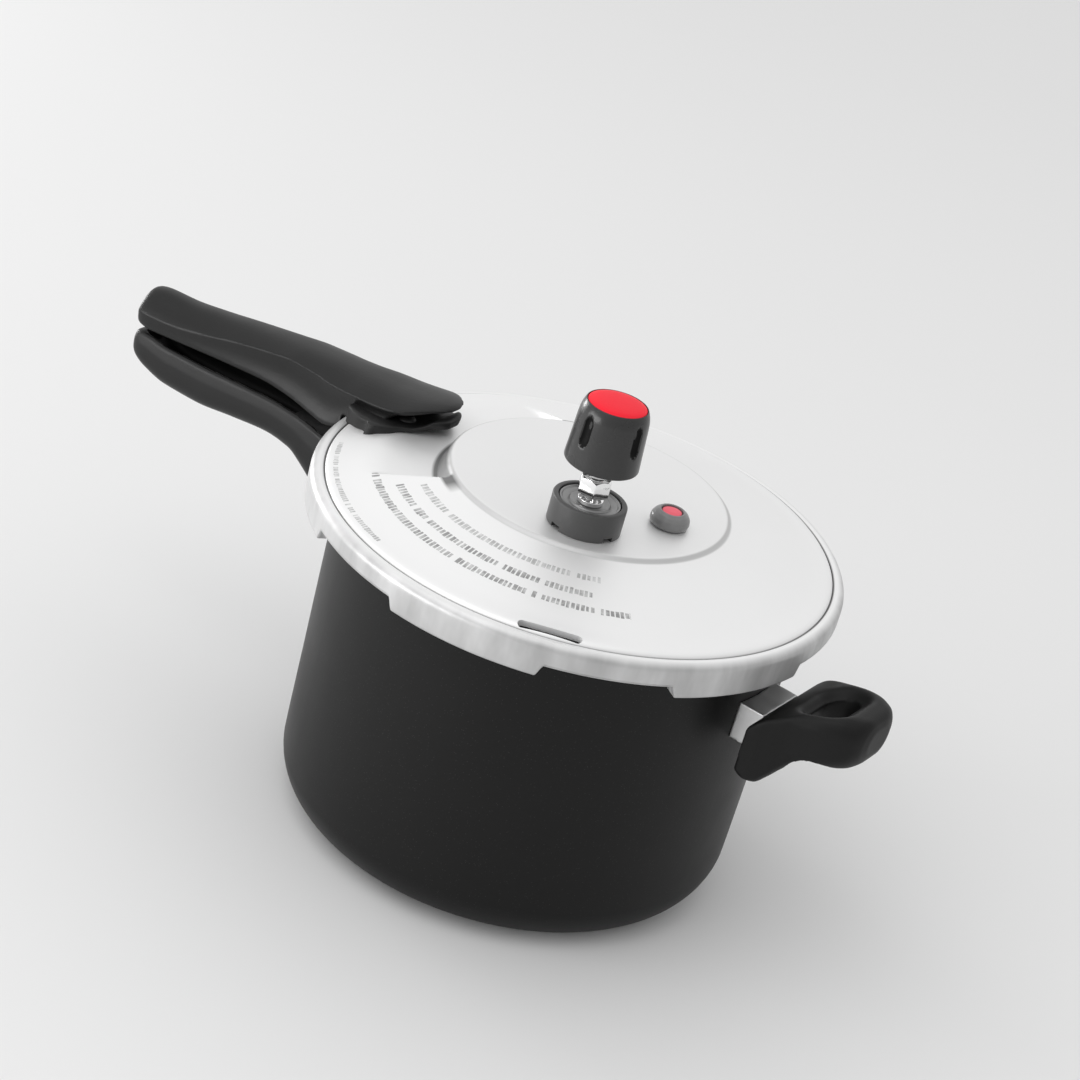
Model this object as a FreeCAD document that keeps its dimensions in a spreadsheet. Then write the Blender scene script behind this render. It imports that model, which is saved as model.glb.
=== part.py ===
import FreeCAD, Part
import math
import os
import Sketcher
from FreeCAD import Placement, Rotation, Vector

# A 4.5 litre pressure cooker with an outside lid that locks by a twist.
# Frame: origin at the centre of the underside of the pot, +Z up, the two long
# handles along -X and the helper handle along +X. Lengths in mm, angles in degrees.

SIZES = {
    # pot: a drawn vessel with a turned-out rim
    "pot_radius": 102.5,
    "pot_base_radius": 101.5,
    "pot_wall": 3.0,
    "pot_floor": 4.0,
    "pot_corner": 21.0,
    "flange_top": 143.5,
    "flange_thick": 2.5,
    "flange_radius": 106.5,
    "flange_fillet": 1.5,
    "rim_round": 1.0,
    # six lugs on the pot's rim and six tabs on the lid's skirt
    "lug_radius": 112.0,
    "lug_width": 25.0,
    "tab_count": 6,
    "tab_first": 38.0,
    "tab_width": 33.0,
    "tab_low": 138.2,
    "tab_lip_radius": 108.5,
    "tab_lip_thick": 1.7,
    # lid: plateau, cone, flat band, rolled bead and skirt
    "lid_top": 168.3,
    "lid_thick": 2.4,
    "plateau_radius": 60.8,
    "plateau_step": 1.4,
    "cone_low_radius": 101.0,
    "cone_low": 156.2,
    "band_radius": 109.0,
    "band_low": 154.5,
    "crease_radius": 111.2,
    "crease_low": 153.1,
    "bead_radius": 4.2,
    "bead_low": 150.2,
    "skirt_radius": 116.5,
    "skirt_thick": 2.2,
    "skirt_low": 143.2,
    # window in the lid's band, over the gasket
    "window_radius": 108.0,
    "window_angle": -65.5,
    "window_length": 26.0,
    "window_width": 4.4,
    "window_low": 147.0,
    "window_high": 159.0,
    # fan-shaped flat pressed into the cone, under the lid's handle
    "pad_floor": 159.0,
    "pad_radius": 61.2,
    "pad_half_angle": 47.0,
    "pad_reach": 96.0,
    "pad_half_width": 74.0,
    "pad_wall_run": 2.6,
    # gasket: a ring of U section, open towards the pot
    "gasket_inner": 101.5,
    "gasket_outer": 113.8,
    "gasket_low": 143.8,
    "gasket_high": 151.0,
    "gasket_lip": 2.2,
    "gasket_back": 3.3,
    # plate that carries the lid's handle
    "foot_nose": 70.0,
    "foot_nose_length": 13.0,
    "foot_nose_half": 17.0,
    "foot_nose_radius": 18.0,
    "foot_corner": 4.0,
    "foot_shoulder": 94.0,
    "foot_half_width": 31.5,
    "foot_tail": 111.0,
    "foot_tail_half": 20.4,
    "foot_high": 162.0,
    "foot_low": 152.0,
    "tongue_half": 8.0,
    "tongue_thick": 5.0,
    "tongue_reach": 150.0,
    # the open slot below the front lip of the lid's handle
    "lip_low": 167.0,
    "lip_front": 60.0,
    "lip_back": 98.0,
    "lip_space_half": 40.0,
    "lip_space_low": 130.0,
    "rim_gap_radius": 117.1,
    "rim_gap_high": 155.2,
    # bracket of the pot's handle
    "bracket_half": 11.0,
    "bracket_low": 107.0,
    "bracket_high": 135.0,
    "bracket_face": 106.5,
    "bracket_inner": 100.0,
    "pot_tongue_low": 127.0,
    "pot_tongue_half": 7.0,
    "pot_tongue_thick": 6.0,
    "pot_tongue_reach": 150.0,
    # box bracket of the helper handle
    "stand_half": 14.0,
    "stand_low": 104.0,
    "stand_high": 121.0,
    "stand_face": 113.4,
    "stand_back": 105.2,
    "stand_inner": 100.5,
    "stand_wall": 2.0,
    "stand_tongue_low": 108.0,
    "stand_tongue_thick": 4.0,
    "stand_tongue_half": 9.0,
    "stand_tongue_reach": 125.0,
    # the helper handle's side of the pot, from +X
    "helper_angle": -3.5,
    # finger hole of the helper handle
    "finger_at": 136.6,
    "finger_length": 28.0,
    "finger_width": 13.4,
    "finger_low": 90.0,
    "finger_high": 150.0,
    # rivets
    "rivet_shank": 2.4,
    "rivet_head": 4.2,
    "rivet_head_high": 1.8,
    "pot_rivet_y": 6.0,
    "pot_rivet_z": 115.0,
    "pot_rivet_grip": 8.6,
    "helper_rivet_y": 6.5,
    "helper_rivet_z": 111.0,
    "helper_rivet_grip": 6.6,
    "rivet_inside": 98.9,
    "foot_rivet_x": 88.0,
    "foot_rivet_y": 10.0,
    "foot_rivet_low": 156.5,
    "foot_rivet_grip": 5.5,
    # screws that hold the three handles, driven from below
    "screw_shank": 2.4,
    "screw_head": 4.2,
    "screw_head_high": 2.6,
    "screw_slot": 1.1,
    "screw_slot_deep": 1.3,
    "screw_access": 4.7,
    "pot_access_low": 100.0,
    "helper_access_low": 90.0,
    "lid_screw_x": 135.0,
    "lid_screw_low": 149.8,
    "lid_screw_high": 161.0,
    "pot_screw_x": 138.0,
    "pot_screw_low": 122.6,
    "pot_screw_high": 132.0,
    "helper_screw_x": 119.5,
    "helper_screw_low": 100.4,
    "helper_screw_high": 111.4,
    # weight valve
    "valve_x": 17.0,
    "valve_y": -34.0,
    "stem_low": 158.0,
    "stem_radius": 4.0,
    "stem_bore": 1.5,
    "stem_shoulder": 5.4,
    "stem_shoulder_low": 179.6,
    "stem_neck": 3.3,
    "stem_hex": 12.5,
    "stem_hex_low": 183.0,
    "stem_hex_high": 191.0,
    "stem_tip": 3.2,
    "stem_high": 203.0,
    "vent_nut_low": 159.4,
    "vent_nut_high": 164.4,
    "vent_nut_across": 15.0,
    "vent_washer_radius": 9.5,
    "collar_radius": 15.7,
    "collar_inner": 13.3,
    "collar_high": 180.5,
    "collar_web_low": 174.5,
    "collar_web_high": 177.0,
    "notch_width": 5.0,
    "notch_high": 2.2,
    "notch_first": 70.0,
    "plate_radius": 12.9,
    "plate_high": 178.6,
    "plate_boss": 8.4,
    # weight
    "weight_low": 197.0,
    "weight_radius": 15.7,
    "weight_cavity": 11.4,
    "weight_roof_low": 220.5,
    "weight_roof_high": 222.3,
    "weight_shoulder": 218.5,
    "weight_shoulder_radius": 14.5,
    "weight_crown": 12.3,
    "weight_high": 225.0,
    "cap_radius": 11.8,
    "needle_radius": 1.1,
    "needle_low": 201.0,
    "core_recess": 3.9,
    "core_recess_high": 203.4,
    "flute_radius": 2.2,
    "flute_at": 15.2,
    "flute_low": 206.0,
    "flute_first": 76.0,
    "flute_count": 4,
    # safety valve: a rubber plug with a red pin
    "safety_x": 39.0,
    "safety_radius": 8.6,
    "safety_neck": 6.0,
    "safety_low": 162.9,
    "safety_high": 175.3,
    "safety_brow": 5.4,
    "safety_bore": 3.05,
    "pin_seat": 4.6,
    "pin_seat_low": 173.7,
    "pin_radius": 3.0,
    "pin_head": 4.2,
    "pin_head_low": 174.0,
    "pin_high": 175.2,
    "pin_flange_low": 156.9,
    "pin_flange_high": 158.5,
}

# Stations along each handle: distance from the pot's axis, half width,
# underside, top and corner radius.
STATION_FIELDS = ("at", "half", "low", "high", "corner")
LID_HANDLE = [
    (71.0, 6.0, 167.5, 172.4, 1.6),
    (76.0, 13.0, 166.0, 172.8, 2.0),
    (88.0, 20.0, 164.0, 171.8, 3.0),
    (100.0, 20.0, 160.0, 170.9, 3.0),
    (110.0, 19.6, 156.8, 170.3, 3.4),
    (119.0, 18.0, 144.6, 169.8, 3.6),
    (133.0, 16.2, 143.6, 169.2, 4.0),
    (146.0, 15.0, 145.6, 168.6, 4.2),
    (160.0, 14.2, 146.6, 167.2, 4.4),
    (180.0, 13.4, 145.6, 164.8, 4.4),
    (200.0, 12.8, 144.0, 162.0, 4.4),
    (218.0, 12.6, 142.6, 160.6, 4.4),
    (231.0, 12.2, 142.2, 159.8, 4.0),
    (236.5, 10.6, 143.4, 158.4, 3.4),
    (238.5, 8.2, 145.6, 156.5, 2.4),
]
POT_HANDLE = [
    (100.0, 17.0, 95.0, 132.0, 4.0),
    (108.0, 16.6, 97.5, 133.2, 4.0),
    (120.0, 15.8, 104.0, 136.2, 4.4),
    (132.0, 15.0, 113.6, 138.8, 4.8),
    (143.0, 14.4, 120.6, 140.0, 5.0),
    (156.0, 14.0, 122.4, 140.4, 5.0),
    (176.0, 13.6, 120.8, 139.8, 5.0),
    (198.0, 13.2, 118.8, 138.9, 5.0),
    (216.0, 13.0, 119.4, 139.0, 5.0),
    (230.0, 12.6, 122.8, 140.2, 4.8),
    (236.0, 11.4, 125.6, 139.6, 4.0),
    (238.5, 8.6, 128.6, 137.4, 3.0),
]
HELPER_HANDLE = [
    (113.4, 28.6, 99.0, 120.8, 4.0),
    (119.0, 28.0, 99.2, 126.4, 4.4),
    (125.0, 26.2, 102.6, 129.6, 5.0),
    (132.0, 23.2, 111.6, 132.6, 5.4),
    (140.0, 20.2, 115.4, 135.0, 5.6),
    (148.0, 16.8, 117.6, 136.6, 5.6),
    (154.0, 13.0, 119.6, 136.6, 5.0),
    (157.6, 7.0, 122.2, 135.6, 3.6),
]
STATION_LETTERS = "abcdefghijklmno"

doc = FreeCAD.newDocument("pressure_cooker")
sheet = doc.addObject("Spreadsheet::Sheet", "Sizes")


class Size:
    """A length held as a spreadsheet expression together with its value."""

    def __init__(self, text, value):
        self.text = text
        self.value = value

    def join(self, other, sign, value):
        return Size("(" + self.text + sign + as_size(other).text + ")", value)

    def __add__(self, other):
        return self.join(other, " + ", self.value + as_size(other).value)

    def __sub__(self, other):
        return self.join(other, " - ", self.value - as_size(other).value)

    def __mul__(self, other):
        return self.join(other, " * ", self.value * as_size(other).value)

    def __truediv__(self, other):
        return self.join(other, " / ", self.value / as_size(other).value)

    def __neg__(self):
        return Size("(0 - " + self.text + ")", -self.value)


def as_size(number):
    """A plain number as a Size, or a Size as it is."""
    return number if isinstance(number, Size) else Size(repr(float(number)), float(number))


def size(alias):
    """The Size of one spreadsheet cell."""
    return Size("Sizes." + alias, float(sheet.get(alias)))


def cosine(angle):
    return Size("cos(" + angle.text + " * 1 deg)", math.cos(math.radians(angle.value)))


def sine(angle):
    return Size("sin(" + angle.text + " * 1 deg)", math.sin(math.radians(angle.value)))


def fill_sheet():
    """Write every driving dimension to the sheet, one aliased cell each."""
    entries = dict(SIZES)
    handles = {"lid_handle": LID_HANDLE, "pot_handle": POT_HANDLE, "helper_handle": HELPER_HANDLE}
    for handle, stations in handles.items():
        for number, station in enumerate(stations):
            for field, value in zip(STATION_FIELDS, station):
                entries["%s_%s_%s" % (handle, field, STATION_LETTERS[number])] = value
    for row, (alias, value) in enumerate(entries.items(), start=1):
        sheet.set("A%d" % row, alias)
        sheet.set("B%d" % row, str(value))
        sheet.setAlias("B%d" % row, alias)
    doc.recompute()


def bind(thing, prop, length):
    """Tie a property to a sheet expression."""
    thing.setExpression(prop, as_size(length).text)


def place(thing, x=0, y=0, z=0, turn=None):
    """Move a finished piece; the shift stays tied to the sheet."""
    shift = [as_size(number) for number in (x, y, z)]
    rotation = turn if turn else Rotation()
    thing.Placement = Placement(Vector(*[part.value for part in shift]), rotation)
    for axis, part in zip("xyz", shift):
        bind(thing, "Placement.Base." + axis, part)
    return thing


def place_round(thing, angle, x=0, y=0, z=0, turn=None):
    """Move a piece, then swing it about the pot's axis."""
    x, y = as_size(x), as_size(y)
    swing = Rotation(Vector(0, 0, 1), angle.value)
    return place(thing, x * cosine(angle) - y * sine(angle), x * sine(angle) + y * cosine(angle), z,
                 swing.multiply(turn) if turn else swing)


def new_body(name):
    body = doc.addObject("PartDesign::Body", name)
    body.Label = name
    return body


def origin_feature(body, role):
    return next(item for item in body.Origin.OriginFeatures if item.Role == role)


def new_sketch(body, name, role, offset=None, turn=None):
    """A sketch on one of the body's origin planes, shifted along its normal or turned about it."""
    sketch = body.newObject("Sketcher::SketchObject", name)
    sketch.AttachmentSupport = [(origin_feature(body, role), "")]
    sketch.MapMode = "FlatFace"
    if turn is not None:
        sketch.AttachmentOffset = Placement(Vector(), Rotation(Vector(0, 1, 0), turn.value))
        bind(sketch, "AttachmentOffset.Rotation.Angle", turn)
    if offset is not None:
        bind(sketch, "AttachmentOffset.Base.z", offset)
    return sketch


def arc_between(start, end, radius):
    """The arc from start to end; a positive radius turns left, a negative one right."""
    chord = end - start
    left = Vector(-chord.y, chord.x, 0).normalize()
    depth = math.sqrt(max(radius * radius - chord.Length ** 2 / 4, 0))
    centre = (start + end) / 2 + left * depth * (1 if radius > 0 else -1)
    first, last = (start, end) if radius > 0 else (end, start)
    angles = [math.atan2(point.y - centre.y, point.x - centre.x) for point in (first, last)]
    circle = Part.Circle(centre, Vector(0, 0, 1), abs(radius))
    return Part.ArcOfCircle(circle, angles[0], angles[1])


def draw(sketch, corners):
    """A closed outline. A corner is (across, up) or, where an arc follows it, (across, up, radius)."""
    points = [(as_size(corner[0]), as_size(corner[1])) for corner in corners]
    radii = [as_size(corner[2]) if len(corner) > 2 else None for corner in corners]
    first = sketch.GeometryCount
    ends = []
    for number, radius in enumerate(radii):
        start, end = [Vector(point[0].value, point[1].value, 0)
                      for point in (points[number], points[(number + 1) % len(points)])]
        if radius is None:
            sketch.addGeometry(Part.LineSegment(start, end), False)
        else:
            sketch.addGeometry(arc_between(start, end, radius.value), False)
        turns_right = radius is not None and radius.value < 0
        ends.append((2, 1) if turns_right else (1, 2))
    rules = []
    values = []
    for number, radius in enumerate(radii):
        item = first + number
        following = (number + 1) % len(points)
        rules.append(Sketcher.Constraint("Coincident", item, ends[number][1],
                                         first + following, ends[following][0]))
        values.append(None)
        for kind, length in zip(("DistanceX", "DistanceY"), points[number]):
            rules.append(Sketcher.Constraint(kind, item, ends[number][0], length.value))
            values.append(length)
        if radius is not None:
            length = radius if radius.value > 0 else -radius
            rules.append(Sketcher.Constraint("Radius", item, length.value))
            values.append(length)
    before = sketch.ConstraintCount
    sketch.addConstraint(rules)
    for number, length in enumerate(values):
        if length is not None:
            bind(sketch, "Constraints[%d]" % (before + number), length)
    return sketch


def revolve(body, sketch, angle=None):
    """Turn an outline about its upright axis, all round or centred on its plane."""
    feature = body.newObject("PartDesign::Revolution", sketch.Name + "_turned")
    feature.Profile = sketch
    feature.ReferenceAxis = (sketch, ["V_Axis"])
    feature.Angle = 360
    if angle is not None:
        feature.Midplane = True
        bind(feature, "Angle", angle)
    body.Tip = feature
    return feature


def extrude(body, sketch, length, kind="PartDesign::Pad", reverse=False):
    feature = body.newObject(kind, sketch.Name + "_raised")
    feature.Profile = sketch
    feature.Reversed = reverse
    bind(feature, "Length", length)
    body.Tip = feature
    return feature


def repeat_round(body, feature, count):
    """Copies of a feature round the body's Z axis."""
    pattern = body.newObject("PartDesign::PolarPattern", feature.Name + "_ring")
    pattern.Originals = [feature]
    pattern.Axis = (origin_feature(body, "Z_Axis"), [""])
    pattern.Angle = 360
    bind(pattern, "Occurrences", count)
    body.Tip = pattern
    return pattern


def turned(name, corners):
    """A body made by turning one outline about Z."""
    body = new_body(name)
    revolve(body, draw(new_sketch(body, name + "_outline", "XZ_Plane"), corners))
    return body


def block(body, name, x_range, y_half, low, high):
    """A box added to a body: an X range, the same width each side of Y, and a height range."""
    sketch = new_sketch(body, name, "XY_Plane", offset=low)
    near, far = x_range
    draw(sketch, [(near, -y_half), (far, -y_half), (far, y_half), (near, y_half)])
    return extrude(body, sketch, high - low)


def hexagon(body, name, across, low, high, core=None):
    """A hexagonal prism about Z, by its width across flats; a square core can stay open."""
    sketch = new_sketch(body, name, "XY_Plane", offset=low)
    reach = across / 2 / cosine(as_size(30))
    draw(sketch, [(reach * cosine(as_size(60 * step)), reach * sine(as_size(60 * step)))
                  for step in range(6)])
    if core is not None:
        draw(sketch, [(core, -core), (core, core), (-core, core), (-core, -core)])
    return extrude(body, sketch, high - low)


def round_slot(sketch, at, reach, round_end):
    """A round-ended slot that stands across X at a distance from the axis."""
    side = reach - round_end
    draw(sketch, [
        (at - round_end, -side, round_end), (at, -reach, round_end), (at + round_end, -side),
        (at + round_end, side, round_end), (at, reach, round_end), (at - round_end, side)])


def combine(kind, name, shapes):
    feature = doc.addObject(kind, name)
    feature.Label = name
    if kind == "Part::Compound":
        feature.Links = shapes
    else:
        feature.Shapes = shapes
    return feature


def minus(name, base, *tools):
    """A piece less its neighbours, so that they meet face to face."""
    cut = doc.addObject("Part::Cut", name)
    cut.Label = name
    cut.Base = base
    cut.Tool = tools[0] if len(tools) == 1 else combine("Part::MultiFuse", name + "_tools", list(tools))
    return cut


def rivet(name, grip):
    """A rivet along Z with its shop head below zero and its closed head above the grip."""
    shank, head, high = size("rivet_shank"), size("rivet_head"), size("rivet_head_high")
    crown = head * 0.55
    return turned(name, [
        (0, -high), (crown, -high, head), (head, 0), (shank, 0), (shank, grip),
        (head, grip, head), (crown, grip + high), (0, grip + high)])


def screw(name, low, high):
    """A slotted pan-head screw along Z with its head at the bottom."""
    shank, head = size("screw_shank"), size("screw_head")
    shoulder = low + size("screw_head_high")
    body = turned(name, [
        (0, low), (head - 0.8, low, 0.8), (head, low + 0.8), (head, shoulder),
        (shank, shoulder), (shank, high - 1), (shank - 1, high), (0, high)])
    slot = new_sketch(body, name + "_slot", "XY_Plane", offset=low)
    half = size("screw_slot") / 2
    draw(slot, [(-head, -half), (head, -half), (head, half), (-head, half)])
    extrude(body, slot, size("screw_slot_deep"), "PartDesign::Pocket", reverse=True)
    return body


def handle_form(name, stations, side):
    """A handle lofted through rounded sections that stand across X."""
    body = new_body(name + "_form")
    sections = []
    for number in range(len(stations)):
        letter = STATION_LETTERS[number]
        at, half, low, high, corner = [size("%s_%s_%s" % (name, field, letter))
                                       for field in STATION_FIELDS]
        sketch = new_sketch(body, name + "_section_" + letter, "YZ_Plane", offset=at * side)
        draw(sketch, [
            (-half + corner, low), (half - corner, low, corner),
            (half, low + corner), (half, high - corner, corner),
            (half - corner, high), (-half + corner, high, corner),
            (-half, high - corner), (-half, low + corner, corner)])
        sections.append(sketch)
    loft = body.newObject("PartDesign::AdditiveLoft", name + "_loft")
    loft.Profile = sections[0]
    loft.Sections = sections[1:]
    body.Tip = loft
    return body


def cylinder(name, radius, low, high, x=0, y=0):
    """A plain upright cylinder, used as a cutter."""
    feature = doc.addObject("Part::Cylinder", name)
    bind(feature, "Radius", radius)
    bind(feature, "Height", high - low)
    return place(feature, x=x, y=y, z=low)


def box(name, x_range, y_half, low, high):
    """A plain box between two X values, used as a cutter."""
    feature = doc.addObject("Part::Box", name)
    bind(feature, "Length", x_range[1] - x_range[0])
    bind(feature, "Width", y_half * 2)
    bind(feature, "Height", high - low)
    return place(feature, x=x_range[0], y=-y_half, z=low)


# ---- pot ----

def make_pot_form():
    """The drawn vessel with its turned-out rim and six lugs."""
    top, base, wall = size("pot_radius"), size("pot_base_radius"), size("pot_wall")
    floor, corner = size("pot_floor"), size("pot_corner")
    rim, under = size("flange_top"), size("flange_top") - size("flange_thick")
    fillet, edge, soft = size("flange_fillet"), size("flange_radius"), size("rim_round")
    inner_corner = corner - wall
    body = turned("pot_form", [
        (0, 0), (base - corner, 0, corner), (base, corner),
        (top, under - fillet, -fillet), (top + fillet, under), (edge, under), (edge, rim),
        (top - wall + soft, rim, soft), (top - wall, rim - soft),
        (base - wall, floor + inner_corner, -inner_corner), (base - corner, floor), (0, floor)])
    lug = new_sketch(body, "lug_outline", "XZ_Plane", turn=size("tab_first"))
    root, tip = edge - 1, size("lug_radius")
    draw(lug, [(root, under), (tip, under), (tip, rim), (root, rim)])
    repeat_round(body, revolve(body, lug, size("lug_width")), size("tab_count"))
    return body


def make_helper_rivets():
    outwards = Rotation(Vector(0, 0, 1), Vector(1, 0, 0))
    return combine("Part::Compound", "helper_rivets", [
        place_round(rivet("helper_rivet_" + side, size("helper_rivet_grip")), size("helper_angle"),
                    size("rivet_inside"), size("helper_rivet_y") * sign, size("helper_rivet_z"),
                    outwards)
        for side, sign in (("near", -1), ("far", 1))])


def make_pot(pot_form, helper_rivets):
    """The vessel, and the bracket, rivets, screw and grip of its long handle."""
    grip = size("pot_rivet_grip")
    towards_handle = Rotation(Vector(0, 0, 1), Vector(-1, 0, 0))
    pot_rivets = combine("Part::Compound", "pot_handle_rivets", [
        place(rivet("pot_rivet_" + side, grip), -size("rivet_inside"), size("pot_rivet_y") * sign,
              size("pot_rivet_z"), towards_handle)
        for side, sign in (("near", -1), ("far", 1))])
    pot_body = minus("pot_body", pot_form, pot_rivets, helper_rivets)

    plate = new_body("pot_bracket_form")
    half, face = size("bracket_half"), size("bracket_face")
    block(plate, "pot_bracket_plate", (-face, -size("bracket_inner")), half,
          size("bracket_low"), size("bracket_high"))
    low = size("pot_tongue_low")
    block(plate, "pot_bracket_tongue", (-size("pot_tongue_reach"), -face + 1),
          size("pot_tongue_half"), low, low + size("pot_tongue_thick"))
    pot_screw = place(screw("pot_handle_screw", size("pot_screw_low"), size("pot_screw_high")),
                      -size("pot_screw_x"))
    bracket = minus("pot_handle_bracket", plate, pot_form, pot_rivets, pot_screw)
    access = cylinder("pot_screw_access", size("screw_access"), size("pot_access_low"),
                      size("pot_screw_low") + size("screw_head_high"), -size("pot_screw_x"))
    wall_space = cylinder("pot_wall_space", size("pot_radius"), size("pot_floor"), size("flange_top"))
    handle = minus("pot_handle", handle_form("pot_handle", POT_HANDLE, -1),
                   wall_space, bracket, pot_rivets, pot_screw, access)
    return [pot_body, pot_rivets, bracket, pot_screw, handle]


def make_helper(pot_form, helper_rivets):
    """The box bracket, the looped side handle and its screw."""
    stand = new_body("helper_stand_form")
    half, face, back = size("stand_half"), size("stand_face"), size("stand_back")
    low, high, wall = size("stand_low"), size("stand_high"), size("stand_wall")
    block(stand, "helper_stand_box", (size("stand_inner"), face), half, low, high)
    hollow = new_sketch(stand, "helper_stand_hollow", "XY_Plane", offset=low)
    draw(hollow, [(back, -half + wall), (face - wall, -half + wall),
                  (face - wall, half - wall), (back, half - wall)])
    extrude(stand, hollow, high - low - wall, "PartDesign::Pocket", reverse=True)
    tongue = size("stand_tongue_low")
    block(stand, "helper_stand_tongue", (face - 1, size("stand_tongue_reach")),
          size("stand_tongue_half"), tongue, tongue + size("stand_tongue_thick"))
    angle, screw_x = size("helper_angle"), size("helper_screw_x")
    fixing = place_round(screw("helper_screw", size("helper_screw_low"), size("helper_screw_high")),
                         angle, screw_x)
    bracket = minus("helper_bracket", place_round(stand, angle), pot_form, helper_rivets, fixing)
    access = cylinder("helper_screw_access", size("screw_access"), size("helper_access_low"),
                      size("helper_screw_low") + size("screw_head_high"),
                      screw_x * cosine(angle), screw_x * sine(angle))
    finger = new_body("finger_hole")
    slot = new_sketch(finger, "finger_outline", "XY_Plane", offset=size("finger_low"))
    round_slot(slot, size("finger_at"), size("finger_length") / 2, size("finger_width") / 2)
    extrude(finger, slot, size("finger_high") - size("finger_low"))
    form = place_round(handle_form("helper_handle", HELPER_HANDLE, 1), angle)
    handle = minus("helper_handle", form, bracket, fixing, access, place_round(finger, angle))
    return [helper_rivets, bracket, fixing, handle]


# ---- lid ----

def fan(body, name, height, radius, spread):
    """Outline of the handle's flat: an arc towards the middle and two sides that open outwards."""
    angle = size("pad_half_angle")
    across, along = radius * sine(angle) + spread, radius * cosine(angle)
    reach, wide = size("pad_reach"), size("pad_half_width") + spread
    sketch = new_sketch(body, name, "XY_Plane", offset=height)
    return draw(sketch, [(-reach, wide), (-reach, -wide), (-along, -across, radius), (-along, across)])


def pressed_flat(name, floor, spread):
    """The space above the flat, with walls that lean outwards."""
    body = new_body(name)
    radius, run = size("pad_radius"), size("pad_wall_run")
    low = fan(body, name + "_low", floor, radius + run - spread, spread)
    high = fan(body, name + "_high", size("lid_top") + 4, radius - run * 0.4 - spread, run + spread)
    loft = body.newObject("PartDesign::AdditiveLoft", name + "_loft")
    loft.Profile = low
    loft.Sections = [high]
    loft.Ruled = True
    body.Tip = loft
    return body


def make_lid_solids():
    """The lid as a full form, and the hollow under it."""
    top, step, edge = size("lid_top"), size("plateau_step"), size("plateau_radius")
    cone_r, cone_z = size("cone_low_radius"), size("cone_low")
    band_r, band_z = size("band_radius"), size("band_low")
    crease_r, crease_z = size("crease_radius"), size("crease_low")
    skirt, low, thick = size("skirt_radius"), size("skirt_low"), size("lid_thick")
    form = turned("lid_outside", [
        (0, low), (skirt, low), (skirt, size("bead_low"), size("bead_radius")),
        (crease_r, crease_z), (band_r, band_z), (cone_r, cone_z),
        (edge + 0.9, top - step), (edge, top), (0, top)])
    inner = skirt - size("skirt_thick")
    under = -thick
    hollow = turned("lid_inside", [
        (0, low - 1), (inner, low - 1), (inner, size("bead_low") - 0.6, as_size(2.6)),
        (crease_r, crease_z + under + 0.5), (band_r, band_z + under),
        (cone_r, cone_z + under - 0.1), (edge - 0.2, top - step + under - 0.1),
        (edge - 1.2, top + under), (0, top + under)])
    return (minus("lid_form", form, pressed_flat("flat_above", size("pad_floor"), as_size(0))),
            minus("lid_hollow", hollow, pressed_flat("flat_below", size("pad_floor") - thick, thick)))


def make_tabs():
    """Six hooked tabs that hang from the skirt and pass under the pot's lugs."""
    skirt, inner = size("skirt_radius"), size("skirt_radius") - size("skirt_thick")
    low, lip, join = size("tab_low"), size("tab_low") + size("tab_lip_thick"), size("skirt_low") + 2
    body = new_body("lid_tabs")
    tab = new_sketch(body, "tab_outline", "XZ_Plane", turn=size("tab_first"))
    draw(tab, [(size("tab_lip_radius"), low), (skirt - 0.8, low, as_size(0.8)), (skirt, low + 0.8),
               (skirt, join), (inner, join), (inner, lip), (size("tab_lip_radius"), lip)])
    repeat_round(body, revolve(body, tab, size("tab_width")), size("tab_count"))
    body.AllowCompound = True
    return body


def make_window():
    """The cutter for the long round-ended window over the gasket."""
    body = new_body("window")
    sketch = new_sketch(body, "window_outline", "XY_Plane", offset=size("window_low"))
    round_slot(sketch, size("window_radius"), size("window_length") / 2, size("window_width") / 2)
    extrude(body, sketch, size("window_high") - size("window_low"))
    return place(body, turn=Rotation(Vector(0, 0, 1), size("window_angle").value))


def make_foot(lid_form):
    """The spade-shaped plate under the lid's handle, with a tongue into the handle."""
    nose, shoulder, tail = size("foot_nose"), size("foot_shoulder"), size("foot_tail")
    wide, narrow = size("foot_half_width"), size("foot_tail_half")
    low, high = size("foot_low"), size("foot_high")
    neck, neck_half = nose + size("foot_nose_length"), size("foot_nose_half")
    bow, corner = size("foot_nose_radius"), size("foot_corner")
    front, side = shoulder - corner * 0.75, wide - corner * 0.75
    back, edge = shoulder + corner / 2, wide - corner / 8
    form = new_body("foot_form")
    spade = new_sketch(form, "foot_outline", "XY_Plane", offset=low)
    draw(spade, [
        (-nose, 0, bow), (-neck, -neck_half), (-front, -side, corner), (-back, -edge),
        (-tail, -narrow), (-tail, narrow), (-back, edge, corner), (-front, side),
        (-neck, neck_half, bow)])
    extrude(form, spade, high - low)
    thick = size("tongue_thick")
    block(form, "foot_tongue", (-size("tongue_reach"), -tail + 1), size("tongue_half"),
          high - thick, high)
    return minus("foot_blank", form, lid_form)


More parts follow.
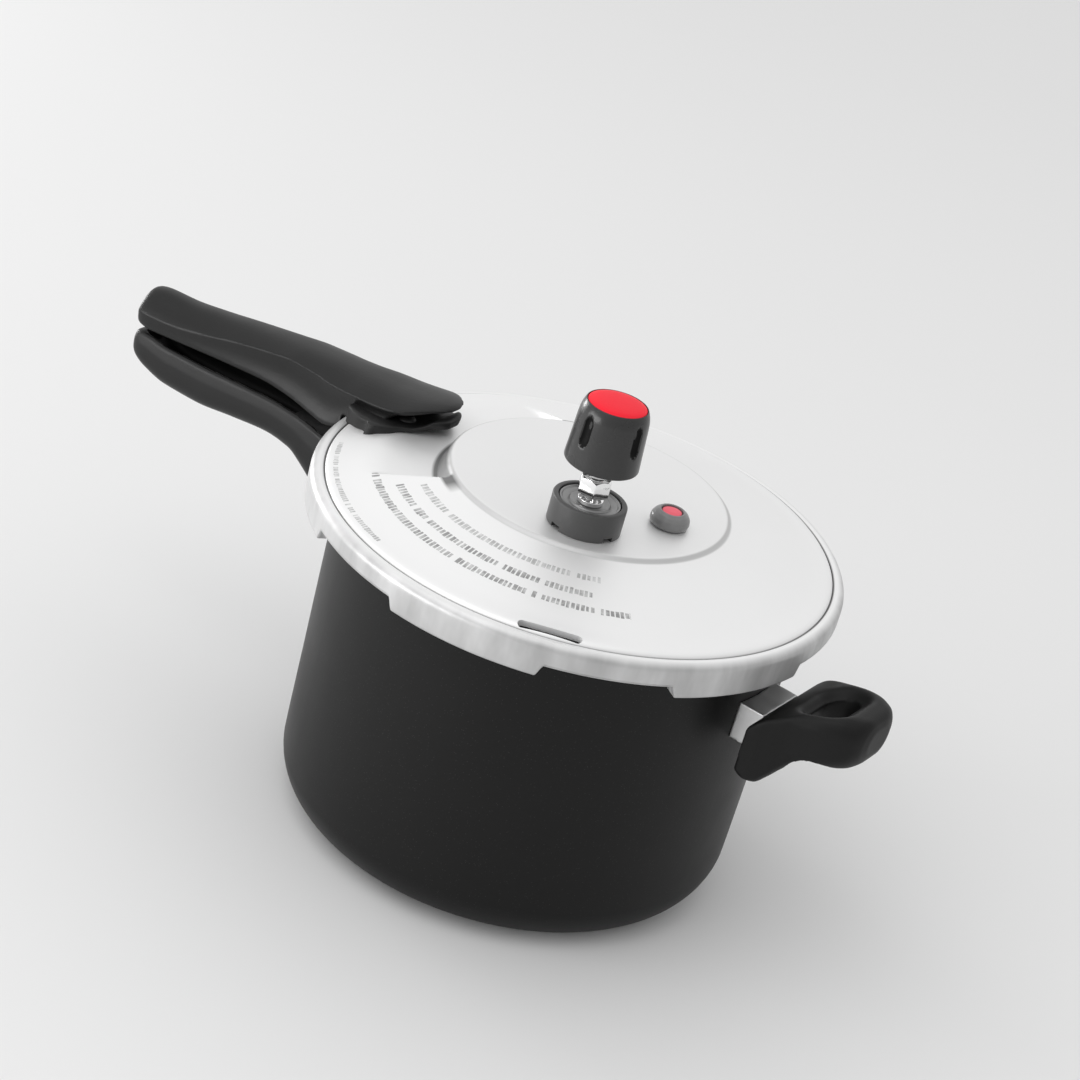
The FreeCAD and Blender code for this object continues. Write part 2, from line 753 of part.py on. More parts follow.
def make_lid():
    lid_form, lid_hollow = make_lid_solids()
    blank = make_foot(lid_form)
    rivets = combine("Part::Compound", "lid_handle_rivets", [
        place(rivet("foot_rivet_" + side, size("foot_rivet_grip")), -size("foot_rivet_x"),
              size("foot_rivet_y") * sign, size("foot_rivet_low"))
        for side, sign in (("near", -1), ("far", 1))])
    fixing = place(screw("lid_handle_screw", size("lid_screw_low"), size("lid_screw_high")),
                   -size("lid_screw_x"))
    foot = minus("lid_handle_foot", blank, rivets, fixing)
    low = size("lip_space_low")
    lip = box("lip_space", (-size("lip_back"), -size("lip_front")), size("lip_space_half"), low,
              size("lip_low"))
    rim = cylinder("rim_space", size("rim_gap_radius"), low, size("rim_gap_high"))
    access = cylinder("lid_screw_access", size("screw_access"), low,
                      size("lid_screw_low") + size("screw_head_high"), -size("lid_screw_x"))
    handle = minus("lid_handle", handle_form("lid_handle", LID_HANDLE, -1),
                   lip, rim, foot, fixing, access)
    vent_pieces, stem_hole = make_vent()
    dome = minus("lid_dome", lid_form, lid_hollow)
    whole = combine("Part::MultiFuse", "lid_whole", [dome, make_tabs()])
    ceiling, top = size("lid_top") - size("lid_thick"), size("lid_top")
    safety_hole = cylinder("safety_hole", size("safety_neck"), ceiling - 1, top + 1, size("safety_x"))
    shell = minus("lid_shell", whole, make_window(), rivets, stem_hole, safety_hole)
    return [shell, foot, rivets, fixing, handle] + vent_pieces


# ---- valves on the lid ----

def make_vent():
    """The vent stem with its nut and washer below the lid, the collar round it, and its hole."""
    x, y = size("valve_x"), size("valve_y")
    low, radius, bore = size("stem_low"), size("stem_radius"), size("stem_bore")
    shoulder, seat, neck = size("stem_shoulder"), size("stem_shoulder_low"), size("stem_neck")
    tip, high, hex_high = size("stem_tip"), size("stem_high"), size("stem_hex_high")
    stem = turned("vent_stem", [
        (bore, low), (radius, low), (radius, seat), (shoulder, seat), (shoulder, seat + 1.2),
        (neck, seat + 2.2), (neck, hex_high), (tip, hex_high + 1), (tip, high - 1),
        (tip - 1, high), (bore, high)])
    hexagon(stem, "stem_hex_outline", size("stem_hex"), size("stem_hex_low"), hex_high, bore * 1.5)
    place(stem, x, y)

    nut_low, nut_high = size("vent_nut_low"), size("vent_nut_high")
    nut_form = new_body("vent_nut_form")
    hexagon(nut_form, "vent_nut_outline", size("vent_nut_across"), nut_low, nut_high)
    hole = cylinder("stem_hole", radius, low, size("lid_top") + 1, x, y)
    nut = minus("vent_nut", place(nut_form, x, y), hole)
    ceiling, wide = size("lid_top") - size("lid_thick"), size("vent_washer_radius")
    washer = place(turned("vent_washer", [
        (radius, nut_high), (wide, nut_high), (wide, ceiling), (radius, ceiling)]), x, y)

    top, outer, inner = size("lid_top"), size("collar_radius"), size("collar_inner")
    web, deck, lip = size("collar_web_low"), size("collar_web_high"), size("collar_high")
    ring = place(turned("collar_form", [
        (radius, web), (inner, web), (inner, top), (outer, top), (outer, lip - 0.6),
        (outer - 0.6, lip), (inner, lip), (inner, deck), (radius, deck)]), x, y)
    reach, half = outer + 1, size("notch_width") / 2
    notches = []
    for number in range(2):
        angle = size("notch_first") + 90 * number
        notch = box("collar_notch_%d" % number, (-reach, reach), half, top, top + size("notch_high"))
        place(notch, x - reach * cosine(angle) + half * sine(angle),
              y - reach * sine(angle) - half * cosine(angle), top,
              Rotation(Vector(0, 0, 1), angle.value))
        notches.append(notch)
    collar = minus("valve_collar", ring, *notches)
    broad, step, boss = size("plate_radius"), size("plate_high"), size("plate_boss")
    plate = place(turned("collar_plate", [
        (radius, deck), (broad, deck), (broad, step), (boss, step), (boss, seat), (radius, seat)]), x, y)
    return [stem, nut, washer, collar, plate], hole


def make_safety_valve():
    """A rubber plug snapped through the lid, and the red pin that rises in it."""
    x, top, ceiling = size("safety_x"), size("lid_top"), size("lid_top") - size("lid_thick")
    bore, outer, neck = size("safety_bore"), size("safety_radius"), size("safety_neck")
    low, high, brow = size("safety_low"), size("safety_high"), size("safety_brow")
    seat, seat_low = size("pin_seat"), size("pin_seat_low")
    plug = place(turned("safety_valve", [
        (bore, low), (outer, low), (outer, ceiling), (neck, ceiling), (neck, top), (outer, top),
        (outer, top + 2, as_size(5.6)), (brow, high), (seat, high), (seat, seat_low),
        (bore, seat_low)]), x)
    pin_r, head, head_low = size("pin_radius"), size("pin_head"), size("pin_head_low")
    flange_low, flange_high = size("pin_flange_low"), size("pin_flange_high")
    pin = place(turned("safety_pin", [
        (0, flange_low), (seat, flange_low), (seat, flange_high), (pin_r, flange_high),
        (pin_r, head_low), (head, head_low), (head, size("pin_high") - 0.6),
        (head - 1, size("pin_high")), (0, size("pin_high"))]), x)
    return [plug, pin]


def make_weight():
    """The loose weight: a plastic cover, a metal core with a needle, and a red cap."""
    x, y = size("valve_x"), size("valve_y")
    low, outer, cavity = size("weight_low"), size("weight_radius"), size("weight_cavity")
    roof_low, roof, top = size("weight_roof_low"), size("weight_roof_high"), size("weight_high")
    crown, cap = size("weight_crown"), size("cap_radius")
    cover = turned("weight_cover", [
        (cavity, low), (outer - 0.8, low, as_size(0.8)), (outer, low + 0.8),
        (size("weight_shoulder_radius"), size("weight_shoulder"), as_size(9)), (crown, top - 0.7),
        (cap, top - 0.3), (cap, roof), (0, roof), (0, roof_low), (cavity, roof_low)])
    flute = new_sketch(cover, "flute_outline", "XY_Plane", offset=size("flute_low"))
    at, round_r = size("flute_at"), size("flute_radius")
    draw(flute, [(at - round_r, 0, round_r), (at, -round_r, round_r), (at + round_r, 0, round_r),
                 (at, round_r, round_r)])
    groove = extrude(cover, flute, top - size("flute_low") + 1, "PartDesign::Pocket", reverse=True)
    repeat_round(cover, groove, size("flute_count"))
    place(cover, x, y, turn=Rotation(Vector(0, 0, 1), size("flute_first").value))

    needle, recess, recess_z = size("needle_radius"), size("core_recess"), size("core_recess_high")
    tip = size("needle_low")
    core = place(turned("weight_core", [
        (0, tip), (needle, tip + 1), (needle, recess_z), (recess, recess_z), (recess, low + 0.8),
        (cavity, low + 0.8), (cavity, roof_low), (0, roof_low)]), x, y)
    button = place(turned("weight_cap", [
        (0, roof), (cap, roof), (cap, top - 0.7), (cap - 1.6, top), (0, top)]), x, y)
    return [cover, core, button]


def make_gasket():
    """A rubber ring of U section between the pot's rim and the lid."""
    inner, outer = size("gasket_inner"), size("gasket_outer")
    low, high, lip = size("gasket_low"), size("gasket_high"), size("gasket_lip")
    back = outer - size("gasket_back")
    return turned("gasket", [
        (inner, low), (outer, low), (outer, high - 1), (outer - 1, high), (inner, high),
        (inner, high - lip), (back, high - lip), (back, low + lip), (inner, low + lip)])


def check_and_write(nodes):
    """Stop if anything failed to build, then write one STEP file for each piece."""
    for item in doc.Objects:
        if "Invalid" in item.State or "Error" in item.State:
            raise RuntimeError("not built: %s %s" % (item.Label, item.State))
    os.makedirs("parts", exist_ok=True)
    for node in nodes:
        shape = node.Shape
        if shape.isNull() or not shape.isValid() or not shape.Solids:
            raise RuntimeError("bad shape: " + node.Label)
        shape.exportStep("parts/" + node.Label + ".step")
        bounds = shape.BoundBox
        print("%-20s %2d solid  %9.1f mm3  x %7.1f %7.1f  y %7.1f %7.1f  z %6.1f %6.1f" % (
            node.Label, len(shape.Solids), shape.Volume, bounds.XMin, bounds.XMax,
            bounds.YMin, bounds.YMax, bounds.ZMin, bounds.ZMax))


def main():
    fill_sheet()
    pot_form = make_pot_form()
    helper_rivets = make_helper_rivets()
    pieces = make_pot(pot_form, helper_rivets) + make_helper(pot_form, helper_rivets)
    pieces += make_lid() + make_safety_valve() + [make_gasket()] + make_weight()
    doc.recompute()
    check_and_write(pieces)


main()
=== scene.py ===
import bmesh
import bpy
import math
from mathutils import Matrix, Vector


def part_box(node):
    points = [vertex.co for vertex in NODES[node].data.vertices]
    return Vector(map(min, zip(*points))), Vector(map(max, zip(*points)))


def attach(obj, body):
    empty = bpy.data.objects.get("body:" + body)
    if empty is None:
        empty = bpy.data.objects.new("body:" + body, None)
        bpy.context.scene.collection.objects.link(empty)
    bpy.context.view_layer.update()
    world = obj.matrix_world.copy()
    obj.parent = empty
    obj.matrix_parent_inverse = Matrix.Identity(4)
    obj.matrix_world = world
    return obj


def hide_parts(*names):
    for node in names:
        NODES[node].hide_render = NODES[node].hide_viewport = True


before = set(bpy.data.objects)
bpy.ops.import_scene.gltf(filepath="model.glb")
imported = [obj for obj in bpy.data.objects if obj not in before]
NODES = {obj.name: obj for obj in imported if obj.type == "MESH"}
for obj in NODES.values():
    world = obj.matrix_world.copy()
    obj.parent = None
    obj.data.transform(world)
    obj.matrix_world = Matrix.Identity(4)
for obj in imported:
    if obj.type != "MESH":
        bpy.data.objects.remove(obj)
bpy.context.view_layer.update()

MM = 0.001


def axis_of(node):
    """Where a turned part's upright axis stands, as (x, y) in metres."""
    low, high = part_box(node)
    return tuple(((Vector(low) + Vector(high)) / 2)[:2])


def axis_mm(node):
    return tuple(c / MM for c in axis_of(node))


# ---- camera, stage and light ----

AIM = Vector((-0.0234, 0.0166, 0.1244))
AZIMUTH, ELEVATION, ROLL, DISTANCE = 25.0, 26.69, 15.74, 1.0953


def make_camera():
    a, e = math.radians(AZIMUTH), math.radians(ELEVATION)
    back = Vector((math.sin(a) * math.cos(e), -math.cos(a) * math.cos(e), math.sin(e)))
    turn = (-back).to_track_quat("-Z", "Y").to_matrix() @ Matrix.Rotation(math.radians(ROLL), 3, "Z")
    data = bpy.data.cameras.new("camera")
    data.lens, data.sensor_width = 83.33, 36.0
    data.clip_start, data.clip_end = 0.05, 60.0
    camera = bpy.data.objects.new("camera", data)
    camera.matrix_world = Matrix.Translation(AIM + back * DISTANCE) @ turn.to_4x4()
    bpy.context.scene.collection.objects.link(camera)
    bpy.context.scene.camera = camera


def area_light(name, place, aim, width, height, power):
    data = bpy.data.lights.new(name, "AREA")
    data.shape, data.size, data.size_y = "RECTANGLE", width, height
    data.energy = power
    lamp = bpy.data.objects.new(name, data)
    lamp.location = place
    lamp.rotation_mode = "QUATERNION"
    lamp.rotation_quaternion = (Vector(aim) - Vector(place)).to_track_quat("-Z", "Y")
    bpy.context.scene.collection.objects.link(lamp)


class Nodes:
    """A short way to build a node tree."""

    def __init__(self, tree):
        self.tree = tree

    def add(self, kind, settings=None, **inputs):
        node = self.tree.nodes.new(kind)
        for key, value in (settings or {}).items():
            setattr(node, key, value)
        for key, value in inputs.items():
            self.put(node.inputs[key.replace("_", " ")], value)
        return node

    def put(self, socket, value):
        if isinstance(value, bpy.types.NodeSocket):
            self.tree.links.new(value, socket)
        else:
            socket.default_value = value

    def math(self, operation, a, b=0.0, clamp=False):
        node = self.tree.nodes.new("ShaderNodeMath")
        node.operation, node.use_clamp = operation, clamp
        self.put(node.inputs[0], a)
        self.put(node.inputs[1], b)
        return node.outputs[0]

    def mix(self, factor, a, b):
        node = self.tree.nodes.new("ShaderNodeMix")
        node.data_type = "RGBA"
        self.put(node.inputs[0], factor)
        self.put(node.inputs[6], a)
        self.put(node.inputs[7], b)
        return node.outputs[2]

    def noise(self, vector, scale, detail=3.0, rough=0.5):
        node = self.add("ShaderNodeTexNoise", Vector=vector, Scale=scale, Detail=detail, Roughness=rough)
        return node.outputs["Fac"]

    def spread(self, value, low, high, out_low, out_high):
        node = self.tree.nodes.new("ShaderNodeMapRange")
        for socket, number in zip(node.inputs, (value, low, high, out_low, out_high)):
            self.put(socket, number)
        return node.outputs[0]

    def near(self, value, target, full, gone, strength):
        """Strength where value is within full of target, fading to nothing at gone."""
        off = self.math("ABSOLUTE", self.math("SUBTRACT", value, target))
        return self.spread(off, full, gone, strength, 0.0)

    def bump(self, height, distance, strength=1.0, normal=None):
        node = self.add("ShaderNodeBump", Height=height, Distance=distance, Strength=strength)
        if normal is not None:
            self.put(node.inputs["Normal"], normal)
        return node.outputs["Normal"]


def grey(level):
    return (level, level, level, 1.0)


def scaled(colour, factor):
    return tuple(min(1.0, channel * factor) for channel in colour[:3]) + (1.0,)


def new_material(name, **settings):
    """A Principled material; the settings go straight on the shader's sockets."""
    made = bpy.data.materials.new(name)
    made.use_nodes = True
    tree = Nodes(made.node_tree)
    shader = made.node_tree.nodes["Principled BSDF"]
    for key, value in settings.items():
        shader.inputs[key.replace("_", " ")].default_value = value
    where = made.node_tree.nodes.new("ShaderNodeTexCoord").outputs["Object"]
    return made, tree, shader, where


def wire(tree, shader, colour, rough, normal):
    for name, value in (("Base Color", colour), ("Roughness", rough), ("Normal", normal)):
        tree.put(shader.inputs[name], value)


def polar(tree, where, centre):
    """Distance from an upright axis and angle about it, for turned and spun parts."""
    shifted = tree.add("ShaderNodeVectorMath", {"operation": "SUBTRACT"})
    tree.put(shifted.inputs[0], where)
    shifted.inputs[1].default_value = (centre[0], centre[1], 0.0)
    parts = tree.add("ShaderNodeSeparateXYZ", Vector=shifted.outputs[0])
    x, y, z = parts.outputs
    radius = tree.math("SQRT", tree.math("ADD", tree.math("MULTIPLY", x, x), tree.math("MULTIPLY", y, y)))
    return radius, tree.math("ARCTAN2", y, x), z


def plastic(name, colour, rough, speckle, shine):
    """Moulded plastic: a fine spark texture, slow flow marks and slight colour change."""
    made, tree, shader, where = new_material(name, Specular_IOR_Level=shine)
    flow = tree.noise(where, 28.0, 4.0, 0.55)
    fine = tree.noise(where, 910.0, 2.0, 0.6)
    shade = tree.math("MULTIPLY", tree.math("ADD", flow, fine), 0.5)
    wire(tree, shader,
         tree.mix(shade, scaled(colour, 1 - speckle), scaled(colour, 1 + speckle)),
         tree.spread(flow, 0.25, 0.75, rough * 0.88, rough * 1.14),
         tree.bump(fine, 0.00006, 0.6, tree.bump(flow, 0.0004, 0.25)))
    return made


def spun_metal(name, colour, rough, centre=(0.0, 0.0), ring=2600.0, brushed=0.5):
    """Metal with the fine rings that turning or spinning leaves, and light handling marks."""
    made, tree, shader, where = new_material(name, Metallic=1.0)
    radius, angle, height = polar(tree, where, centre)
    along = tree.add("ShaderNodeCombineXYZ", X=tree.math("MULTIPLY", radius, ring),
                     Y=tree.math("MULTIPLY", angle, 3.0), Z=tree.math("MULTIPLY", height, ring)).outputs[0]
    rings = tree.noise(along, 1.0, 3.0, 0.65)
    cloud = tree.noise(where, 22.0, 4.0, 0.55)
    smears = tree.noise(where, 160.0, 2.0, 0.5)
    wear = tree.math("ADD", tree.math("MULTIPLY", rings, brushed), tree.math("MULTIPLY", smears, 1 - brushed))
    wire(tree, shader,
         tree.mix(cloud, scaled(colour, 0.95), colour),
         tree.spread(wear, 0.3, 0.7, rough * 0.75, rough * 1.3),
         tree.bump(rings, 0.000012, 0.5))
    return made


def dash_rows(tree, radius, angle, rows):
    """Rows of short plain strokes, such as a stamping without any lettering in it."""
    total = 0.0
    for number, (row, first, last, tall, pitch, weight) in enumerate(rows):
        turn = tree.math("WRAP", angle, math.radians(first) + 2 * math.pi)
        turn.node.inputs[2].default_value = math.radians(first)
        run = tree.math("MULTIPLY", tree.math("SUBTRACT", turn, math.radians(first)), row / pitch)
        seed = tree.add("ShaderNodeCombineXYZ", X=tree.math("FLOOR", run), Y=number + 0.5)
        chance = tree.add("ShaderNodeTexWhiteNoise", {"noise_dimensions": "3D"}, Vector=seed.outputs[0])
        pick, other, third = [tree.add("ShaderNodeSeparateXYZ", Vector=chance.outputs["Color"]).outputs[k]
                              for k in range(3)]
        wide = tree.spread(pick, 0.0, 1.0, 0.55, 0.85)
        reach = tree.spread(other, 0.0, 1.0, tall * 0.36, tall * 0.5)
        off = tree.math("ABSOLUTE", tree.math("SUBTRACT", radius, row))
        inside = tree.math("MULTIPLY", tree.math("LESS_THAN", off, reach),
                           tree.math("LESS_THAN", tree.math("FRACT", run), wide))
        shown = tree.math("MULTIPLY", tree.math("GREATER_THAN", third, 0.10),
                          tree.math("LESS_THAN", turn, math.radians(last)))
        mask = tree.math("MULTIPLY", tree.math("MULTIPLY", inside, shown), weight)
        total = tree.math("ADD", total, mask, clamp=True)
    return total


def lid_metal():
    """Polished and satin aluminium, spun, with faint stamped rows of plain strokes, and painted shade: a darker
    plateau, a grey ring at its step, a dark band at the pad's wall, a near-black crease line and a darker skirt
    with painted reflection streaks.
    """
    made, tree, shader, where = new_material("polished_lid", Metallic=0.6)
    radius, angle, height = polar(tree, where, (0.0, 0.0))
    along = tree.add("ShaderNodeCombineXYZ", X=tree.math("MULTIPLY", radius, 1500.0),
                     Y=tree.math("MULTIPLY", angle, 2.0), Z=tree.math("MULTIPLY", height, 900.0)).outputs[0]
    rings = tree.noise(along, 1.0, 4.0, 0.7)
    cloud = tree.noise(where, 9.0, 3.0, 0.5)
    smears = tree.noise(where, 120.0, 3.0, 0.55)
    # Painted shade and painted reflection on the skirt: a darker grey band with vertical light and dark streaks.
    around = tree.add("ShaderNodeCombineXYZ", X=tree.math("MULTIPLY", tree.math("COSINE", angle), 6.0),
                      Y=tree.math("MULTIPLY", tree.math("SINE", angle), 6.0),
                      Z=tree.math("MULTIPLY", height, 18.0)).outputs[0]
    skirt_reflection_streaks = tree.noise(around, 1.5, 3.0, 0.55)
    base = tree.mix(cloud, grey(0.86), grey(0.92))
    skirt_shade = tree.spread(radius, 0.1130, 0.1160, 0.0, 1.0)
    base = tree.mix(tree.math("MULTIPLY", skirt_shade, tree.spread(skirt_reflection_streaks, 0.3, 0.7, 0.55, 1.0)), base, grey(0.45))
    # Painted shade: the plateau is painted a little darker grey than the cone.
    plateau_shade = tree.spread(radius, 0.0596, 0.0612, 0.30, 0.0)
    base = tree.mix(plateau_shade, base, grey(0.72))
    # Painted shade: a grey ring painted along the plateau's step.
    base = tree.mix(tree.near(radius, 0.0610, 0.0006, 0.0014, 0.8), base, grey(0.50))
    # Painted shade: a dark band painted at the pressed pad's inner wall, on the pad's side of the lid.
    wall = tree.near(radius, 0.0636, 0.0018, 0.0032, 0.9)
    behind = tree.spread(tree.math("COSINE", angle), -0.60, -0.50, 1.0, 0.0)
    base = tree.mix(tree.math("MULTIPLY", wall, behind), base, grey(0.13))
    # Painted shade: a near-black line painted in the crease inside the bead.
    base = tree.mix(tree.near(radius, 0.1111, 0.0002, 0.0006, 0.7), base, grey(0.05))
    rows = [
        # radius, first and last angle, height of a stroke, pitch, weight
        (0.0740, -132.0, -54.0, 0.0034, 0.0021, 0.55),
        (0.0830, -131.0, -57.0, 0.0036, 0.0020, 0.75),
        (0.0910, -139.0, -47.0, 0.0036, 0.0020, 0.75),
        (0.1065, -156.0, -110.0, 0.0024, 0.0015, 0.55),
    ]
    above = tree.math("GREATER_THAN", height, 0.1535)
    worn = tree.spread(tree.noise(where, 300.0, 2.0, 0.6), 0.35, 0.6, 0.45, 1.0)
    marks = tree.math("MULTIPLY", tree.math("MULTIPLY", dash_rows(tree, radius, angle, rows), above), worn,
                      clamp=True)
    wear = tree.math("ADD", tree.math("MULTIPLY", rings, 0.5), tree.math("MULTIPLY", smears, 0.5))
    rough = tree.math("ADD", tree.spread(wear, 0.3, 0.7, 0.42, 0.50), tree.math("MULTIPLY", marks, 0.25))
    stamped = tree.bump(tree.math("SUBTRACT", 1.0, marks), 0.00012, 0.4)
    wire(tree, shader, tree.mix(marks, base, grey(0.16)), rough, tree.bump(rings, 0.00001, 0.4, stamped))
    return made


def coated_metal():
    """Dark non-stick coating over aluminium: fine orange peel, tiny flecks and a rubbed lower edge."""
    made, tree, shader, where = new_material("nonstick_coat", Specular_IOR_Level=0.22)
    height = tree.add("ShaderNodeSeparateXYZ", Vector=where).outputs[2]
    peel = tree.noise(where, 900.0, 3.0, 0.6)
    patch = tree.noise(where, 14.0, 4.0, 0.55)
    flecks = tree.add("ShaderNodeTexVoronoi", Vector=where, Scale=700.0).outputs["Distance"]
    fleck = tree.math("MULTIPLY", tree.math("LESS_THAN", flecks, 0.13), 0.35)
    base = tree.mix(patch, grey(0.004), grey(0.007))
    base = tree.mix(fleck, base, grey(0.06))
    rubbed = tree.math("MULTIPLY", tree.spread(height, 0.0, 0.006, 1.0, 0.0),
                       tree.spread(tree.noise(where, 60.0, 4.0, 0.7), 0.45, 0.7, 0.0, 0.8), clamp=True)
    wire(tree, shader,
         tree.mix(rubbed, base, grey(0.16)),
         tree.spread(patch, 0.3, 0.7, 0.40, 0.50),
         tree.bump(peel, 0.00004, 0.6, tree.bump(patch, 0.0006, 0.15)))
    return made


def rubber(name, level, rough, shine):
    """Moulded rubber with a little dust on it."""
    made, tree, shader, where = new_material(name, Specular_IOR_Level=shine)
    dust = tree.noise(where, 180.0, 4.0, 0.65)
    fine = tree.noise(where, 1500.0, 2.0, 0.6)
    wire(tree, shader,
         tree.mix(dust, grey(level * 0.85), grey(level * 1.25)),
         tree.spread(dust, 0.3, 0.7, rough * 0.9, rough * 1.15),
         tree.bump(fine, 0.00005, 0.5))
    return made


def make_stage():
    """A pale floor, an even studio sky and three soft lights."""
    data = bpy.data.meshes.new("floor")
    reach = 14.0
    data.from_pydata([(-reach, -reach, 0), (reach, -reach, 0), (reach, reach, 0), (-reach, reach, 0)],
                     [], [(0, 1, 2, 3)])
    floor = bpy.data.objects.new("floor", data)
    floor.location.z = -0.0002
    bpy.context.scene.collection.objects.link(floor)
    made, tree, shader, where = new_material("floor_paper", Roughness=0.75)
    soft = tree.noise(where, 1.5, 3.0, 0.5)
    tree.put(shader.inputs["Base Color"], tree.mix(soft, grey(0.80), grey(0.82)))
    data.materials.append(made)

    world = bpy.data.worlds.new("studio")
    world.use_nodes = True
    bpy.context.scene.world = world
    tree = Nodes(world.node_tree)
    where = tree.add("ShaderNodeTexCoord").outputs["Generated"]
    towards = tree.add("ShaderNodeVectorMath", {"operation": "DOT_PRODUCT"})
    tree.put(towards.inputs[0], where)
    towards.inputs[1].default_value = (-0.32, 0.42, 0.85)
    level = tree.spread(towards.outputs["Value"], -0.8, 0.9, 0.34, 1.0)
    background = world.node_tree.nodes["Background"]
    tree.put(background.inputs["Color"], tree.mix(level, grey(0.0), grey(1.0)))
    background.inputs["Strength"].default_value = 0.95

    area_light("key", (-0.5, -0.9, 1.8), (0, 0, 0.1), 1.6, 1.6, 7)
    area_light("fill", (-1.1, -1.5, 0.28), (0, 0, 0.14), 1.5, 0.4, 15)
    area_light("rim", (-1.7, 0.3, 0.17), (0, 0, 0.08), 0.5, 0.3, 8)
    bpy.context.scene.view_settings.view_transform = "Standard"


# ---- mesh making ----

def finish_mesh(name, mesh, materials, body, nodes, sharp=34.0):
    """Link a mesh as a piece: shaded smooth, riding on its body and standing for its CAD nodes."""
    mesh.polygons.foreach_set("use_smooth", [True] * len(mesh.polygons))
    mesh.set_sharp_from_angle(angle=math.radians(sharp))
    mesh.materials.clear()
    for item in materials if isinstance(materials, (list, tuple)) else [materials]:
        mesh.materials.append(item)
    piece = bpy.data.objects.new(name, mesh)
    bpy.context.scene.collection.objects.link(piece)
    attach(piece, body)
    if nodes:
        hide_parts(*nodes)


def mesh_of(name, points, faces, turned=False):
    """A mesh from points in millimetres, welded, with its faces outwards. A turned one loses its flat faces."""
    mesh = bpy.data.meshes.new(name)
    mesh.from_pydata([tuple(c * MM for c in point) for point in points], [], faces)
    work = bmesh.new()
    work.from_mesh(mesh)
    bmesh.ops.remove_doubles(work, verts=work.verts, dist=2e-7 if turned else 1e-7)
    if turned:
        bmesh.ops.dissolve_degenerate(work, edges=work.edges, dist=1e-7)
    bmesh.ops.recalc_face_normals(work, faces=work.faces)
    work.to_mesh(mesh)
    work.free()
    return mesh


def rounded(corners, steps=6):
    """An outline with its corners filleted. A corner is (across, up) or (across, up, radius)."""
    line = []
    for number, corner in enumerate(corners):
        here = Vector(corner[:2])
        if len(corner) < 3 or number in (0, len(corners) - 1):
            line.append(here)
            continue
        before, after = Vector(corners[number - 1][:2]), Vector(corners[number + 1][:2])
        to_before, to_after = (before - here).normalized(), (after - here).normalized()
        half = to_before.angle(to_after) / 2
        run = min(corner[2] / math.tan(half), (before - here).length * 0.49, (after - here).length * 0.49)
        radius = run * math.tan(half)
        centre = here + (to_before + to_after).normalized() * radius / math.sin(half)
        start, end = here + to_before * run - centre, here + to_after * run - centre
        sweep = start.angle_signed(end)
        for step in range(steps + 1):
            spin = Matrix.Rotation(-sweep * step / steps, 2)
            line.append(centre + spin @ start)
    return [(point.x, point.y) for point in line]


def arc(centre, radius, first, last, steps):
    """Points on an arc, by its centre, radius and two angles in degrees."""
    angles = [math.radians(first + (last - first) * step / steps) for step in range(steps + 1)]
    return [(centre[0] + radius * math.cos(a), centre[1] + radius * math.sin(a)) for a in angles]


def turn_mesh(name, section, angles, closed=False, centre=(0.0, 0.0)):
    """Sections swept about an upright axis. section(angle) gives (radius, z) pairs, always as many."""
    rings = [section(angle) for angle in angles]
    count, turns = len(rings[0]), len(angles)
    points = [(centre[0] + radius * math.cos(angle), centre[1] + radius * math.sin(angle), z)
              for angle, ring in zip(angles, rings) for radius, z in ring]
    faces = []
    for i in range(turns):
        following = (i + 1) % turns
        for j in range(count if closed else count - 1):
            k = (j + 1) % count
            faces.append([i * count + j, following * count + j, following * count + k, i * count + k])
    return mesh_of(name, points, faces, True)


def even_angles(count):
    return [2 * math.pi * step / count for step in range(count)]


def circle(radius, count, centre=(0.0, 0.0)):
    return [(centre[0] + radius * math.cos(a), centre[1] + radius * math.sin(a)) for a in even_angles(count)]


def lathe(name, corners, material, body, nodes, centre, turns, closed=False, sharp=34.0):
    """A turned piece, from the rounded outline of its half section."""
    outline = rounded(corners)
    mesh = turn_mesh(name, lambda angle: outline, even_angles(turns), closed, centre)
    finish_mesh(name, mesh, material, body, nodes, sharp)


def scratch(name, mesh):
    """A mesh on a working object, for modifiers."""
    thing = bpy.data.objects.new(name, mesh)
    bpy.context.scene.collection.objects.link(thing)
    return thing


def baked(thing):
    """The object's mesh with its modifiers applied; the working object goes."""
    depsgraph = bpy.context.evaluated_depsgraph_get()
    mesh = bpy.data.meshes.new_from_object(thing.evaluated_get(depsgraph))
    bpy.data.objects.remove(thing, do_unlink=True)
    return mesh


def carved(mesh, cutters, operation="DIFFERENCE"):
    """A mesh with each cutter taken out of it, or with only what it shares with them."""
    for cutter in cutters:
        base, tool = scratch("carve_base", mesh), scratch("carve_tool", cutter)
        step = base.modifiers.new("cut", "BOOLEAN")
        step.operation, step.solver, step.object = operation, "EXACT", tool
        mesh = baked(base)
        bpy.data.objects.remove(tool, do_unlink=True)
    return mesh


def softened(mesh, voxel, passes):
    """Remesh finely and smooth, so that every edge is slightly round."""
    thing = scratch("soften", mesh)
    step = thing.modifiers.new("voxels", "REMESH")
    step.mode, step.voxel_size = "VOXEL", voxel * MM
    step.use_smooth_shade = True
    blur = thing.modifiers.new("blur", "SMOOTH")
    blur.factor, blur.iterations = 0.5, passes
    return baked(thing)


